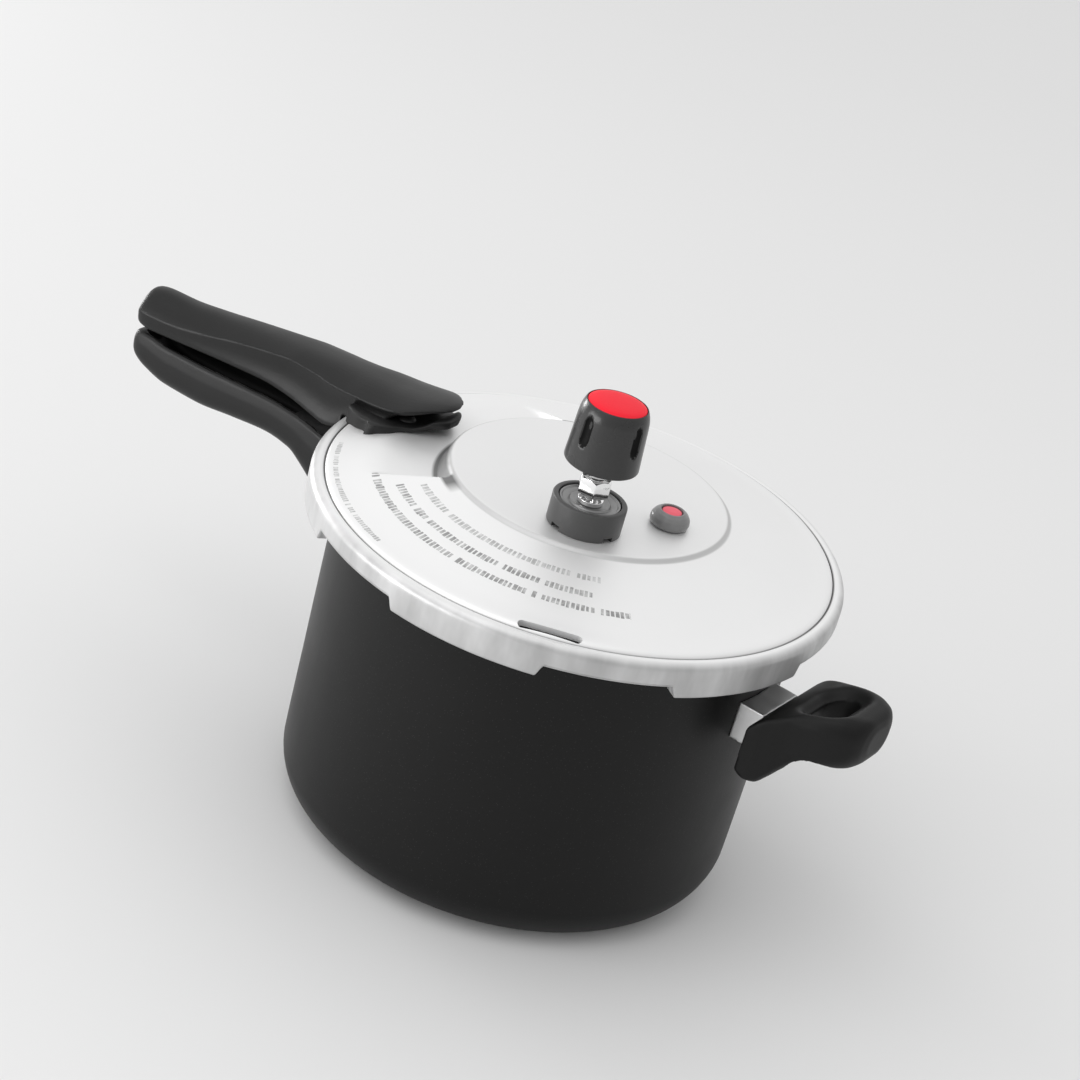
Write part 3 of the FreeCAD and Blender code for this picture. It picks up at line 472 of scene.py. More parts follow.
def blend(stations, at):
    """Smooth values between stations; each station starts with its place."""
    if at <= stations[0][0]:
        return list(stations[0][1:])
    if at >= stations[-1][0]:
        return list(stations[-1][1:])
    k = next(n for n in range(len(stations) - 1) if stations[n + 1][0] >= at)
    values = []
    for column in range(1, len(stations[0])):
        def rise(n):
            return (stations[n + 1][column] - stations[n][column]) / (stations[n + 1][0] - stations[n][0])

        def slope(n):
            if n == 0 or n == len(stations) - 1:
                return rise(min(n, len(stations) - 2))
            left, right = rise(n - 1), rise(n)
            return 0.0 if left * right <= 0 else 2 * left * right / (left + right)

        run = stations[k + 1][0] - stations[k][0]
        t = (at - stations[k][0]) / run
        a, b = stations[k][column], stations[k + 1][column]
        ma, mb = slope(k) * run, slope(k + 1) * run
        values.append(a * (2 * t ** 3 - 3 * t ** 2 + 1) + ma * (t ** 3 - 2 * t ** 2 + t)
                      + b * (3 * t ** 2 - 2 * t ** 3) + mb * (t ** 3 - t ** 2))
    return values


def loft(name, stations, shape, side, step=1.5):
    """A solid through sections across X. shape(values) gives a closed loop of (y, z)."""
    first, last = stations[0][0], stations[-1][0]
    count = int((last - first) / step)
    places = [first + (last - first) * number / count for number in range(count + 1)]
    rings = [shape(*blend(stations, at)) for at in places]
    size = len(rings[0])
    points = [(at * side, y, z) for at, ring in zip(places, rings) for y, z in ring]
    faces = []
    for start in range(0, count * size, size):
        for j in range(size):
            k = (j + 1) % size
            faces.append([start + j, start + k, start + size + k, start + size + j])
    faces += [list(range(size)), [count * size + j for j in reversed(range(size))]]
    return mesh_of(name, points, faces)


def extruded(name, first, second):
    """A solid between two matching closed outlines."""
    count = len(first)
    faces = [[j, (j + 1) % count, count + (j + 1) % count, count + j] for j in range(count)]
    faces += [list(range(count)), [count + j for j in range(count)]]
    return mesh_of(name, first + second, faces)


def prism(name, outline, low, high):
    """An upright prism on a closed outline of (x, y)."""
    return extruded(name, [(x, y, low) for x, y in outline], [(x, y, high) for x, y in outline])


def slab(name, outline, half):
    """A slab across Y on a closed outline of (x, z)."""
    return extruded(name, [(x, -half, z) for x, z in outline], [(x, half, z) for x, z in outline])


def bowl(name, centre, radii):
    """An ellipsoid, for scooped hollows."""
    mesh = bpy.data.meshes.new(name)
    work = bmesh.new()
    shape = Matrix.Translation(Vector(centre) * MM) @ Matrix.Diagonal((*(Vector(radii) * MM), 1.0))
    bmesh.ops.create_uvsphere(work, u_segments=96, v_segments=48, radius=1.0, matrix=shape)
    work.to_mesh(mesh)
    work.free()
    return mesh


def swung(mesh, degrees):
    mesh.transform(Matrix.Rotation(math.radians(degrees), 4, "Z"))
    return mesh


def moved(mesh, centre):
    mesh.transform(Matrix.Translation((centre[0] * MM, centre[1] * MM, 0)))
    return mesh


def mirrored(right):
    """A closed section from its right half, which starts and ends on the middle line."""
    return right + [(-y, z) for y, z in reversed(right[1:-1])]


def smooth_min(a, b, k):
    """The lower of two values, with a rounded change from one to the other."""
    h = max(k - abs(a - b), 0.0) / k
    return min(a, b) - h * h * k / 4


def ease(t):
    """Nought to one with soft ends."""
    t = max(0.0, min(1.0, t))
    return t * t * (3 - 2 * t)


# ---- lid ----

# The lid's six tabs and the pot's six lugs, by the first one's middle, half angle and soft edge in degrees.
FIRST, TAB_HALF, TAB_EASE, LUG_HALF, LUG_EASE = 38.0, 16.5, 0.75, 12.5, 0.8
# The fan-shaped flat pressed into the lid under its handle: height, inner radius, and its two corners.
PAD_FLOOR, PAD_RADIUS, PAD_ANGLE, PAD_CORNER = 159.0, 63.8, math.radians(47.0), Vector((-96.0, 74.0))


def in_sector(angle, half, soft):
    """One inside each of six even sectors, nought between them, with eased ends."""
    off = (math.degrees(angle) - FIRST + 30) % 60 - 30
    return ease((half + soft - abs(off)) / (2 * soft))


def pad_distance(x, y):
    """How far a point lies outside the fan-shaped flat."""
    if x > 0:
        return 50.0
    corner = Vector((-PAD_RADIUS * math.cos(PAD_ANGLE), PAD_RADIUS * math.sin(PAD_ANGLE)))
    along = (PAD_CORNER - corner).normalized()
    side = (Vector((x, abs(y))) - corner).dot(Vector((along.y, -along.x)))
    inner = PAD_RADIUS - math.hypot(x, y)
    return -smooth_min(-side, -inner, 4.0)


def pressed(x, y, z, floor, shift):
    """A height on the lid after the flat is pressed in: a floor with a steep rounded wall."""
    d = pad_distance(x, y) - shift
    if d > 9:
        return z
    bend = 0.45
    ramp = 3.4 * bend * math.log1p(math.exp(min(d / bend, 40)))
    return smooth_min(z, floor + ramp, 1.5)


def lid_section(angle):
    """Half section of the spun lid: up the outside from its middle, round the hooked edge, back inside."""
    share = in_sector(angle, TAB_HALF, TAB_EASE)
    low = 143.2 - 5.0 * share
    lip = 114.3 - 5.8 * share
    outer = [(r, 168.3) for r in (0, 8, 16, 24, 32, 40, 46, 51, 55, 57.5, 59.0)]
    outer += [(59.8, 168.28), (60.4, 168.05), (60.9, 167.55), (61.4, 167.05), (61.9, 166.78), (62.6, 166.62)]
    outer += [(r, 166.86 - (r - 61.7) * 0.2723) for r in [63.3 + 0.9 * n for n in range(42)]]
    outer += [(101.4, 156.08), (103, 155.7), (105, 155.28), (107, 154.86), (108.6, 154.5), (109.6, 154.1),
              (110.3, 153.5), (110.75, 152.8), (110.95, 152.2), (111.1, 151.95), (111.3, 152.2)]
    outer += arc((112.75, 149.62), 3.74, 116, 0, 12)
    outer += [(116.5, z) for z in (148.4, 147.0, 145.6, 144.2)]
    bottom = [(116.5, low + 1.2), (116.45, low + 0.8), (116.2, low + 0.35), (115.8, low + 0.08), (115.3, low),
              (lip + 0.5, low), (lip + 0.12, low + 0.12), (lip, low + 0.5),
              (lip, low + 1.25), (lip + 0.15, low + 1.58), (lip + 0.5, low + 1.7),
              (114.0, low + 1.72), (114.28, low + 2.0)]
    inner = [(114.3, z) for z in (145.6, 147.2)]
    inner += [(114.1, 148.6), (113.4, 149.9), (112.3, 150.6), (110.8, 150.95), (109, 151.9), (105, 152.7),
              (101, 153.6)]
    inner += [(r, 153.6 + (101 - r) * 0.269)
              for r in (98, 95, 92, 89, 86, 83, 80, 77, 74, 71.5, 69, 67, 65.5, 64, 63, 62, 61)]
    inner += [(60.3, 164.7), (59.6, 165.5), (58.6, 165.88), (54, 165.9), (40, 165.9), (20, 165.9), (0, 165.9)]
    def with_pad(part, floor, shift):
        x, y = math.cos(angle), math.sin(angle)
        return [(r, pressed(r * x, r * y, z, floor, shift) if r < 101.5 and x < 0 else z) for r, z in part]

    return with_pad(outer, PAD_FLOOR, 0.0) + bottom + with_pad(inner, PAD_FLOOR - 2.4, 1.7)


def edge_angles(half, spacing, reach):
    """Closely spaced angles in degrees about both ends of each of the six sectors."""
    return {round((FIRST + 60 * sector + edge + step * spacing) % 360, 4) for sector in range(6)
            for edge in (-half, half) for step in range(-reach, reach + 1)}


def lid_angles():
    """Angles for the lid's sections: even, twice as fine at the pad, and finer at the tabs' ends."""
    marks = {step * 1.5 for step in range(240)} | {115 + step * 0.5 for step in range(260)}
    kept = [0.0]
    for value in sorted(marks | edge_angles(TAB_HALF, TAB_EASE / 5, 6)):
        if value - kept[-1] > 0.1:
            kept.append(value)
    return [math.radians(value) for value in kept]


def make_lid_shell(material):
    mesh = turn_mesh("lid_shell_form", lid_section, lid_angles())
    half, side, radius = 1.8, 11.2, 107.9
    slot = arc((radius, side), half, 0, 180, 12) + arc((radius, -side), half, 180, 360, 12)
    window = swung(prism("window_cut", slot, 147, 160), -65.5)
    mesh = carved(mesh, [window])
    finish_mesh("lid_spun_shell", mesh, material, "lid", ["lid_shell"], 30)


# ---- pot ----

def pot_section(angle):
    """Half section of the pot: out under the base, up the wall, round the rim or lug, down inside."""
    edge = 106.5 + 5.5 * in_sector(angle, LUG_HALF, LUG_EASE)
    line = [(0, 0.6), (60, 0.6), (74, 0.5), (76, 0.0), (79, 0.0)]
    line += arc((80.5, 21), 21, -90, -4, 14)
    line += [(101.6, 30), (101.8, 60), (102.1, 90), (102.35, 120), (102.45, 137.5), (102.6, 139.2),
             (103.1, 140.4), (104.0, 141.0), (edge - 0.5, 141.0), (edge - 0.12, 141.12), (edge, 141.5),
             (edge, 143.0), (edge - 0.12, 143.38), (edge - 0.5, 143.5)]
    line += [(101.5, 143.5), (100.5, 143.5), (99.9, 143.3), (99.55, 142.9), (99.5, 142.4)]
    line += [(99.4, 120), (99.1, 90), (98.8, 60), (98.6, 30)]
    line += reversed(arc((80.5, 22), 18, -90, -4, 12))
    line += [(70, 4.0), (40, 4.0), (0, 4.0)]
    return line


def make_pot(coat, bare):
    """The coated vessel, bare inside and on top of the rim."""
    marks = sorted({step * 2.0 for step in range(180)} | edge_angles(LUG_HALF, 0.2, 5))
    mesh = turn_mesh("pot_form", pot_section, [math.radians(v) for v in marks])
    finish_mesh("pot_vessel", mesh, [coat, bare], "pot", ["pot_body"], 40)
    inner_wall, base_top, rim_top = 99.6, 3.5, 143.3
    for face in mesh.polygons:
        spot = face.center / MM
        turned_in = face.normal.dot(Vector((-spot.x, -spot.y, 20.0))) > 0
        inside = spot.xy.length < inner_wall and spot.z > base_top and turned_in
        if inside or spot.z > rim_top:
            face.material_index = 1


# ---- handles ----

def ridged(half, low, high, ridge, hollow, foot, crown):
    """Lid handle section: a convex top, a ridge on each side, hollow flanks and a rounded underside."""
    right = []
    for step in range(9):
        t = step / 8
        right.append((half * t, ridge + (high - ridge) * (1 - t ** crown)))
    for step in range(1, 8):
        t = step / 8
        y = half + (foot - half) * t - hollow * math.sin(math.pi * t)
        right.append((y, ridge + (low + 2.2 - ridge) * t))
    right += [(foot, low + 2.2), (foot - 0.5, low + 0.9), (foot - 1.6, low + 0.15), (foot * 0.5, low), (0.0, low)]
    return mirrored(right)


def make_lid_handle(material):
    stations = [
        # place, half width, underside, crown, ridge, hollow of the flank, half width below, crown power
        (70.4, 3.4, 169.4, 172.2, 171.7, 0.0, 2.8, 2.0),
        (71.2, 6.2, 169.2, 172.7, 171.7, 0.0, 5.6, 2.0),
        (73.0, 9.4, 169.0, 173.1, 171.7, 0.0, 8.6, 2.0),
        (76.4, 13.2, 168.0, 173.2, 171.2, 0.0, 12.4, 2.2),
        (81.0, 16.9, 165.4, 172.9, 170.1, 0.2, 16.2, 2.4),
        (86.0, 19.3, 162.4, 172.4, 168.5, 0.4, 18.8, 2.5),
        (92.0, 20.4, 158.6, 171.8, 166.9, 0.6, 20.0, 2.5),
        (100.0, 20.4, 156.6, 171.1, 165.8, 0.8, 20.2, 2.5),
        (110.0, 19.8, 152.0, 170.6, 165.0, 1.8, 19.0, 2.5),
        (119.0, 18.4, 144.6, 170.0, 164.0, 2.2, 17.6, 2.5),
        (126.0, 17.4, 142.9, 169.6, 163.8, 2.2, 16.6, 2.5),
        (133.0, 16.4, 143.8, 169.3, 164.2, 2.0, 15.8, 2.5),
        (146.0, 15.2, 145.9, 168.6, 164.4, 1.7, 14.6, 2.4),
        (160.0, 14.4, 146.9, 167.2, 162.4, 1.2, 13.8, 2.4),
        (180.0, 13.6, 145.8, 165.0, 158.4, 0.7, 13.0, 2.3),
        (200.0, 13.0, 144.2, 162.3, 153.4, 0.4, 12.4, 2.3),
        (218.0, 12.7, 142.7, 160.4, 150.2, 0.2, 12.0, 2.3),
        (229.0, 12.6, 142.0, 160.2, 149.6, 0.1, 11.8, 2.3),
        (234.4, 12.1, 142.4, 159.6, 149.6, 0.0, 11.3, 2.3),
        (237.2, 11.0, 143.2, 158.5, 149.6, 0.0, 10.2, 2.2),
        (238.2, 9.6, 144.4, 157.2, 149.8, 0.0, 9.0, 2.2),
        (238.5, 8.2, 145.6, 156.0, 150.0, 0.0, 7.8, 2.2),
    ]
    mesh = loft("lid_handle_loft", stations, ridged, -1)
    lip = [(-40, 130), (-40, 171.0), (-72, 170.8), (-76, 170.0), (-80, 168.4), (-84, 166.8), (-88, 165.6),
           (-91, 163.2), (-94, 159.2), (-96, 158.0), (-100, 156.4), (-106, 154.4), (-110, 153.0),
           (-112, 152.6), (-112, 130)]
    wedge = slab("lip_cut", lip, 45)
    rim = prism("rim_cut", circle(117.2, 160), 130, 152.6)
    bore = prism("bore_cut", circle(4.7, 40, (-135.0, 0.0)), 130, 152.6)
    mesh = softened(carved(mesh, [wedge, rim, bore]), 0.62, 5)
    finish_mesh("lid_handle_grip", mesh, material, "lid", ["lid_handle"], 60)


def trough(half, low, high, top, belly):
    """Pot handle section: a flat top with small edges over a deep rounded belly."""
    right = [(0.0, high), (top * 0.6, high), (top - 1.0, high - 0.05), (top - 0.25, high - 0.45),
             (top + (half - top) * 0.35, high - 1.6)]
    steps = 12
    join = high - (high - low) * 0.34
    right.append((half - 0.15, join + 1.2))
    for step in range(steps + 1):
        t = math.pi / 2 * step / steps
        right.append((half * math.cos(t) ** belly, join - (join - low) * math.sin(t) ** belly))
    return mirrored(right)


def make_pot_handle(material):
    stations = [
        # place, half width, underside, top, half width of the top, squareness of the belly
        (101.0, 17.4, 94.6, 132.0, 15.2, 0.55),
        (106.0, 17.0, 96.4, 132.8, 15.0, 0.55),
        (113.0, 16.4, 99.4, 134.2, 14.6, 0.55),
        (120.0, 16.0, 104.0, 136.2, 14.2, 0.56),
        (128.0, 15.4, 110.6, 137.8, 13.8, 0.58),
        (134.0, 15.0, 115.0, 139.0, 13.6, 0.60),
        (143.0, 14.5, 120.2, 140.1, 13.2, 0.62),
        (156.0, 14.0, 122.0, 140.6, 12.8, 0.62),
        (176.0, 13.6, 120.4, 139.9, 12.4, 0.60),
        (198.0, 13.2, 118.2, 138.9, 12.0, 0.58),
        (216.0, 13.0, 118.8, 138.9, 11.8, 0.58),
        (229.0, 12.6, 122.0, 140.2, 11.4, 0.60),
        (234.4, 11.8, 124.6, 140.0, 10.6, 0.62),
        (237.4, 9.8, 127.0, 138.8, 8.8, 0.66),
        (238.5, 7.2, 129.4, 137.0, 6.4, 0.70),
    ]
    mesh = loft("pot_handle_loft", stations, trough, -1)
    wall = prism("wall_cut", circle(102.6, 160), 90, 150)
    bore = prism("bore_cut", circle(4.7, 40, (-138.0, 0.0)), 100, 125.2)
    inset = [(place, half - 2.9, low, 150.0, half - 2.9, 0.5) for place, half, low in (
        (107.0, 14.4, 127.4), (112.0, 16.2, 126.7), (129.0, 15.3, 126.6), (146.0, 14.4, 126.8),
        (170.0, 13.8, 127.5), (198.0, 13.2, 126.6), (218.0, 13.0, 127.2), (228.0, 12.4, 130.5),
        (232.0, 10.6, 133.5))]
    channel = loft("channel_cut", inset, trough, -1)
    mesh = softened(carved(mesh, [wall, bore, channel]), 0.65, 5)
    finish_mesh("pot_handle_grip", mesh, material, "pot", ["pot_handle"], 60)


def loop_section(half, low, high, top_round, low_round, lean):
    """Helper handle section: flat at the root, rounder towards the loop's end."""
    ring = []
    for cy, cz, first, radius in (
            (half - top_round, high - top_round, 0, top_round),
            (-half + top_round, high - top_round, 90, top_round),
            (-half + low_round + lean, low + low_round, 180, low_round),
            (half - low_round - lean, low + low_round, 270, low_round)):
        ring += arc((cy, cz), radius, first, first + 90, 6)
    return ring


def make_helper_handle(material):
    stations = [
        # place, half width, underside, top, corner radii above and below, lean of the flanks
        (113.4, 28.6, 99.2, 120.6, 2.0, 2.6, 0.6),
        (115.6, 28.6, 97.8, 123.8, 2.2, 2.8, 0.6),
        (118.4, 28.4, 97.0, 126.8, 2.4, 3.0, 0.6),
        (122.0, 27.4, 97.4, 129.2, 2.6, 3.4, 0.6),
        (126.0, 26.2, 101.6, 131.2, 3.0, 3.6, 0.5),
        (130.0, 24.8, 107.0, 133.4, 4.4, 4.0, 0.4),
        (134.0, 23.8, 111.4, 135.4, 5.6, 5.0, 0.3),
        (139.0, 22.8, 113.6, 137.4, 6.6, 6.0, 0.2),
        (144.0, 21.4, 114.8, 138.8, 7.4, 6.6, 0.0),
        (149.0, 19.4, 116.0, 139.6, 8.2, 7.0, 0.0),
        (153.0, 17.0, 117.2, 139.6, 8.6, 7.4, 0.0),
        (155.4, 14.2, 118.8, 138.9, 8.6, 7.6, 0.0),
        (156.9, 11.2, 120.6, 137.2, 7.6, 7.0, 0.0),
        (157.45, 8.4, 122.8, 135.0, 5.6, 5.4, 0.0),
    ]
    mesh = loft("helper_loft", stations, loop_section, 1, 1.0)
    at, reach, end = 136.0, 13.6, 7.2
    slot = arc((at, reach - end), end, 0, 180, 16) + arc((at, -reach + end), end, 180, 360, 16)
    finger = prism("finger_cut", slot, 90, 150)
    screw_hole = prism("bore_cut", circle(4.7, 40, (119.5, 0.0)), 90, 103.0)
    bracket = prism("bracket_cut", [(110, -9.0), (125.2, -9.0), (125.2, 9.0), (110, 9.0)], 107.8, 112.2)
    scoop = bowl("scoop_cut", (140.5, 0.0, 106.5), (14.5, 27.0, 17.0))
    mesh = softened(carved(mesh, [finger, screw_hole, bracket, scoop]), 0.6, 4)
    for vertex in mesh.vertices:
        x, y, z = (c / MM for c in vertex.co)
        side = max(0.0, abs(y) - (reach - end))
        off = max(0.0, math.hypot(x - at, side) - end)
        near_top = ease((z - (blend(stations, x)[2] - 10.0)) / 8.0)
        vertex.co.z -= 4.6 * MM * math.exp(-(off / 3.2) ** 2) * near_top
    swung(mesh, -3.5)
    finish_mesh("helper_handle_loop", mesh, material, "pot", ["helper_handle"], 60)


def shoe_section(top_half, low_half, low, high):
    """Lower jaw of the lid's handle: wider above than below, with softened edges."""
    right = [(0.0, high), (top_half - 1.4, high), (top_half - 0.5, high - 0.25), (top_half, high - 0.9),
             (top_half - 0.1, high - 1.8)]
    right += [(low_half + (top_half - low_half) * t, low + (high - 1.8 - low) * t) for t in (0.6, 0.25)]
    right += [(low_half, low), (0.0, low)]
    return mirrored(right)


def make_foot(material):
    stations = [
        # place, half width above, half width below, underside, top
        (69.9, 3.6, 3.0, 163.2, 166.2),
        (70.6, 6.0, 4.6, 162.7, 166.8),
        (72.2, 8.6, 6.6, 162.6, 167.0),
        (74.4, 10.6, 8.6, 162.2, 166.4),
        (76.4, 12.0, 10.0, 161.4, 164.6),
        (78.6, 14.0, 11.4, 160.4, 163.0),
        (82.0, 17.2, 13.2, 159.4, 161.8),
        (84.6, 19.9, 17.5, 158.8, 161.8),
        (87.0, 23.4, 24.0, 158.2, 161.9),
        (89.3, 26.2, 26.2, 157.2, 162.0),
        (91.2, 27.8, 27.6, 156.0, 162.0),
        (92.9, 28.7, 30.6, 155.2, 162.0),
        (95.4, 29.0, 31.2, 154.8, 161.9),
        (96.6, 27.6, 28.6, 154.7, 161.8),
        (97.4, 27.2, 27.2, 154.6, 161.8),
        (101.0, 26.8, 26.6, 154.0, 161.6),
        (106.0, 24.8, 24.4, 153.2, 161.4),
        (111.0, 21.6, 21.2, 152.4, 161.2),
    ]
    mesh = softened(loft("shoe_loft", stations, shoe_section, -1, 0.7), 0.5, 4)
    finish_mesh("lid_handle_shoe", mesh, material, "lid", ["lid_handle_foot"], 60)


def make_helper_bracket(material):
    mesh = softened(NODES["helper_bracket"].data.copy(), 0.4, 2)
    finish_mesh("helper_stand", mesh, material, "pot", ["helper_bracket"], 60)


# ---- weight, collar and valves ----

def make_weight(black, recess_shade, red):
    """The fluted cover of the weight, with painted shade in its flutes, and the domed disc in its top."""
    centre = axis_mm("weight_cover")
    outline = rounded([(11.4, 220.5), (11.4, 197.0, 0.4), (15.7, 197.0, 1.0), (15.55, 200.0), (15.3, 204.0),
                       (15.1, 208.0), (14.9, 212.0), (14.7, 216.0), (14.45, 219.0), (13.95, 221.2), (13.3, 222.9),
                       (12.85, 223.75, 0.2), (12.6, 223.9), (12.45, 223.7), (12.4, 223.0), (12.4, 222.3),
                       (0.0, 222.3)], 5)
    shell = 12.9
    fine = [outline[0]]
    for before, after in zip(outline, outline[1:]):
        gap = math.hypot(after[0] - before[0], after[1] - before[1])
        parts = max(1, int(gap / 0.7)) if before[0] > shell and after[0] > shell else 1
        for part in range(1, parts + 1):
            t = part / parts
            fine.append((before[0] + (after[0] - before[0]) * t, before[1] + (after[1] - before[1]) * t))
    low, high, reach, wide, deep, first = 206.2, 220.2, 4.2, 2.5, 1.9, 76

    def section(angle):
        off = (math.degrees(angle) - first + 45) % 90 - 45
        across = abs(15.2 * math.sin(math.radians(off)))
        ring = []
        for r, z in fine:
            end = max(0.0, low + reach - z, z - high + reach) / reach
            width = wide * math.sqrt(max(0.0, 1 - end * end))
            if r > shell and across < width:
                r -= deep * (1 - end * end) * (1 - (across / width) ** 2) ** 0.5
            ring.append((r, z))
        return ring

    mesh = turn_mesh("weight_form", section, even_angles(360), False, centre)
    finish_mesh("weight_knob", mesh, [black, recess_shade], "weight", ["weight_cover"], 40)
    # The flutes' recessed faces take the near-black second material: painted shade.
    for face in mesh.polygons:
        spot = face.center / MM - Vector((*centre, 0.0))
        skin = 15.7 - (spot.z - 197.0) * 0.057
        if low < spot.z < high and shell < spot.xy.length < skin - 0.35:
            face.material_index = 1
    dome = [(0.0, 222.31), (12.3, 222.31), (12.3, 223.75, 0.5), (11.2, 224.3), (9.4, 224.62), (7.0, 224.83),
            (4.0, 224.95), (0.0, 225.0)]
    lathe("weight_button", dome, red, "weight", ["weight_cap"], centre, 96, sharp=50)


def make_collar(dark, steel):
    """The notched collar round the stem and the stepped disc in it."""
    centre = axis_mm("valve_collar")
    ring = [(4.2, 174.6), (13.3, 174.5), (13.3, 168.35), (15.7, 168.35, 0.3), (15.7, 180.5, 0.9),
            (13.3, 180.5, 0.5), (13.25, 177.02), (4.2, 177.0)]
    mesh = turn_mesh("collar_form", lambda angle, line=rounded(ring): line, even_angles(128), True, centre)
    notch = [(10.0, -2.4), (18.0, -2.4), (18.0, 2.4), (10.0, 2.4)]
    cuts = [moved(swung(prism("notch_cut", notch, 160, 170.4), 70 + 90 * quarter), centre) for quarter in range(4)]
    mesh = carved(mesh, cuts)
    finish_mesh("valve_guard", mesh, dark, "lid", ["valve_collar"], 34)
    plate = [(4.05, 177.05), (12.9, 177.05), (12.9, 179.9, 0.3), (12.1, 180.0, 0.2), (11.5, 179.3), (9.6, 179.0),
             (9.0, 178.6, 0.2), (8.4, 179.4, 0.3), (7.6, 179.3), (6.6, 178.9), (5.6, 178.9), (4.05, 178.9)]
    lathe("guard_plate", plate, steel, "lid", ["collar_plate"], centre, 96, closed=True)


def make_stem(chrome):
    """The vent stem: foot, four short legs, a bored hexagon and the tip."""
    centre = axis_mm("vent_stem")
    lower = [(1.5, 158.0), (4.0, 158.0, 0.3), (4.0, 179.0), (5.4, 179.0, 0.2), (5.4, 180.8, 0.3), (3.6, 181.4, 0.3),
             (3.1, 182.2), (3.1, 184.0), (1.5, 184.0)]
    lathe("stem_foot", lower, chrome, "lid", ["vent_stem"], centre, 64, closed=True)
    upper = [(1.5, 190.4), (3.3, 190.4), (3.3, 191.6, 0.3), (3.2, 202.2, 0.6), (2.6, 203.0, 0.2), (1.5, 203.0)]
    lathe("stem_tip", upper, chrome, "lid", [], centre, 64, closed=True)
    across_flats = 12.5
    block = prism("hex_form", circle(across_flats / 2 / math.cos(math.pi / 6), 6), 183.0, 191.0)
    trim = [(0, 182.9), (6.0, 182.9), (7.4, 184.2), (7.4, 189.6), (6.0, 191.1), (0, 191.1)]
    cone = turn_mesh("hex_trim", lambda angle: trim, even_angles(96))
    bore = prism("hex_bore", circle(1.5, 24), 180, 195)
    thing = scratch("hex", moved(carved(carved(block, [cone], "INTERSECT"), [bore]), centre))
    edge = thing.modifiers.new("edges", "BEVEL")
    edge.width, edge.segments, edge.limit_method = 0.25 * MM, 2, "ANGLE"
    edge.angle_limit = math.radians(28)
    finish_mesh("stem_hex", baked(thing), chrome, "lid", [], 28)
    work = bmesh.new()
    for leg in circle(4.3, 4):
        leg = Matrix.Rotation(math.radians(45), 2) @ Vector(leg) + Vector(centre)
        work.from_mesh(prism("leg", circle(0.95, 20, leg), 180.6, 184.0))
    mesh = bpy.data.meshes.new("legs")
    work.to_mesh(mesh)
    work.free()
    finish_mesh("stem_legs", mesh, chrome, "lid", [], 34)


def make_safety(dark, red):
    """The rubber relief plug and the red pin in it."""
    centre = axis_mm("safety_valve")
    plug = [(3.05, 162.9), (8.6, 162.9, 0.6), (8.6, 165.8, 0.4), (6.0, 165.9), (6.0, 168.3), (7.0, 168.32, 0.3),
            (8.05, 168.9, 1.0), (8.6, 170.6, 2.2), (8.25, 172.6, 2.4), (7.0, 174.3, 2.0), (5.5, 175.3, 0.5),
            (4.75, 175.25, 0.3), (4.6, 173.7), (3.05, 173.7)]
    lathe("relief_plug", plug, dark, "lid", ["safety_valve"], centre, 96, closed=True, sharp=50)
    pin = [(0, 156.9), (4.4, 156.9, 0.4), (4.4, 158.5, 0.3), (2.95, 158.6), (2.95, 174.0), (4.2, 174.02, 0.1),
           (4.2, 174.7, 0.35), (3.2, 175.02), (1.6, 175.16), (0, 175.2)]
    lathe("relief_pin", pin, red, "safety_pin", ["safety_pin"], centre, 72, sharp=50)


# ---- everything together ----

def dress(nodes, material):
    """Give carried-over CAD nodes their finish."""
    for name in nodes:
        node = NODES[name]
        if not node.material_slots:
            node.data.materials.append(material)
        for slot in node.material_slots:
            slot.link = "OBJECT"
            slot.material = material


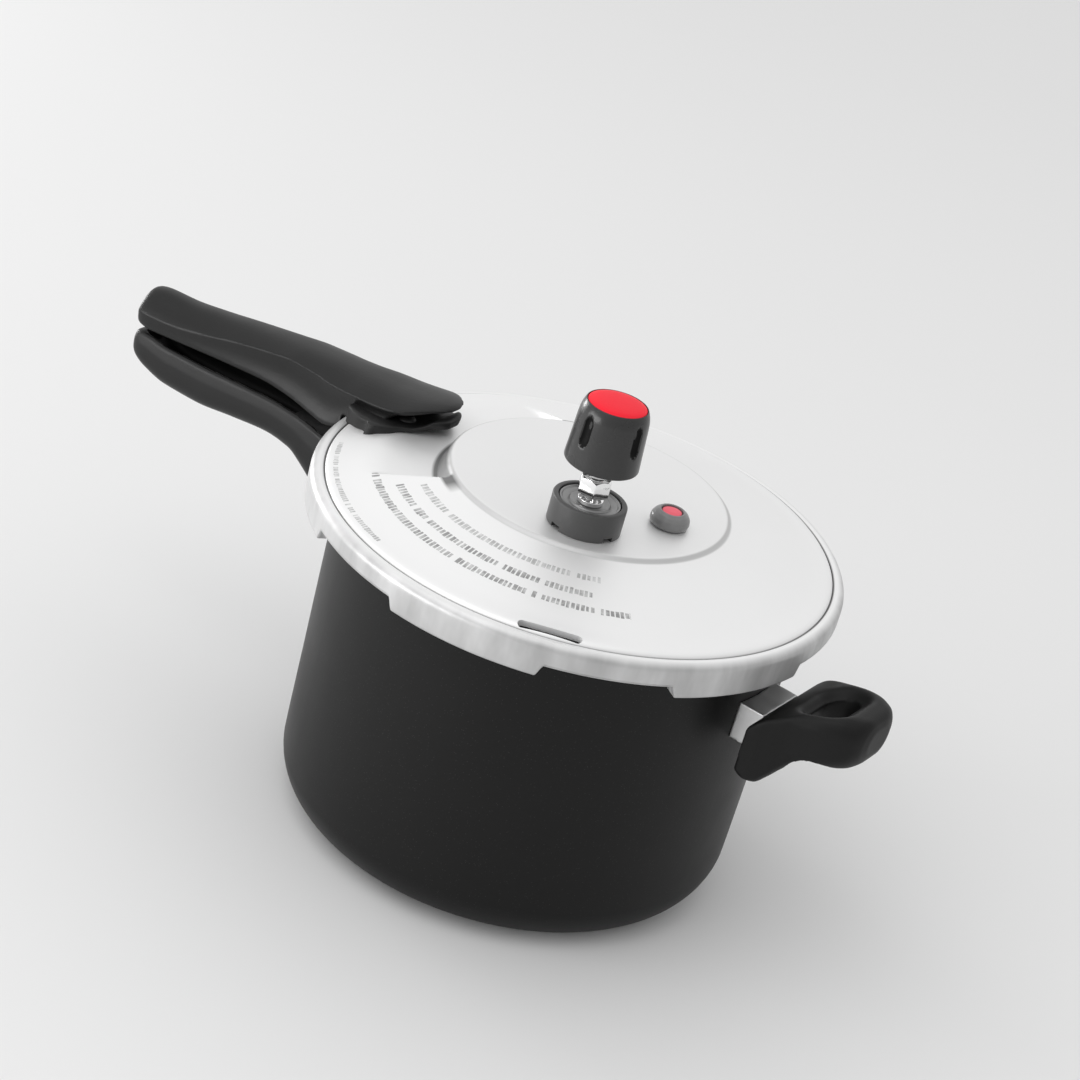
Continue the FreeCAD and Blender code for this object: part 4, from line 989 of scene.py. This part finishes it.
def main():
    """Camera and stage, the materials, then every piece."""
    make_camera()
    make_stage()
    phenolic = plastic("phenolic_black", grey(0.006), 0.42, 0.2, 0.33)
    shoe = plastic("shoe_black", grey(0.012), 0.46, 0.2, 0.3)
    knob = plastic("knob_charcoal", grey(0.032), 0.28, 0.15, 0.4)
    # Painted shade: a slightly darker, less shiny copy of the phenolic, so the helper handle renders darker.
    loop = plastic("phenolic_shaded_copy", grey(0.005), 0.48, 0.2, 0.24)
    # Near-black for the flutes: painted shade in the recesses of the knob's own plastic.
    flute_shade = plastic("knob_flutes_painted_shade", grey(0.004), 0.60, 0.2, 0.15)
    guard = plastic("guard_grey", grey(0.062), 0.38, 0.12, 0.4)
    red = plastic("cap_red", (0.95, 0.022, 0.042, 1.0), 0.40, 0.05, 0.08)
    pin_red = plastic("pin_red", (0.92, 0.14, 0.19, 1.0), 0.42, 0.05, 0.2)
    plug_grey = rubber("plug_grey", 0.19, 0.24, 0.6)
    seal = rubber("seal_rubber_pale", 0.10, 0.55, 0.35)
    spot = axis_of("vent_stem")
    lid = lid_metal()
    inside = spun_metal("pot_inner_satin", grey(0.80), 0.34)
    bracket = spun_metal("bracket_satin", grey(0.72), 0.42, (0.12, 0.0), 1400.0, brushed=0.3)
    # Painted shade: the pot handle's bracket is near-black so it reads as the dark gap between the handles.
    bracket_shade = spun_metal("bracket_dark_as_shade", grey(0.035), 0.5, (-0.12, 0.0), 1400.0, brushed=0.3)
    steel = spun_metal("plate_turned", grey(0.27), 0.34, spot, 3800.0)
    chrome = spun_metal("chrome_turned", grey(0.93), 0.09, spot, 3000.0)
    rivets = spun_metal("rivet_aluminium", grey(0.82), 0.32, (-0.088, 0.0), 1800.0)
    # Painted shade: the foot's rivets are near-black so they vanish in the dark slot under the handle's lip.
    rivets_shade = spun_metal("rivet_dark_as_shade", grey(0.045), 0.45, (-0.088, 0.0), 1800.0)
    zinc = spun_metal("zinc_steel", grey(0.60), 0.30, (-0.135, 0.0), 2400.0)
    core = spun_metal("core_turned", grey(0.62), 0.28, spot, 3200.0)

    make_lid_shell(lid)
    make_pot(coated_metal(), inside)
    make_lid_handle(phenolic)
    make_pot_handle(phenolic)
    make_helper_handle(loop)
    make_foot(shoe)
    make_helper_bracket(bracket)
    make_weight(knob, flute_shade, red)
    make_collar(guard, steel)
    make_stem(chrome)
    make_safety(plug_grey, pin_red)
    dress(["pot_handle_bracket"], bracket_shade)
    dress(["pot_handle_rivets", "helper_rivets"], rivets)
    dress(["lid_handle_rivets"], rivets_shade)
    dress(["pot_handle_screw", "helper_screw", "lid_handle_screw", "vent_nut"], zinc)
    dress(["gasket", "vent_washer"], seal)
    dress(["weight_core"], core)


main()
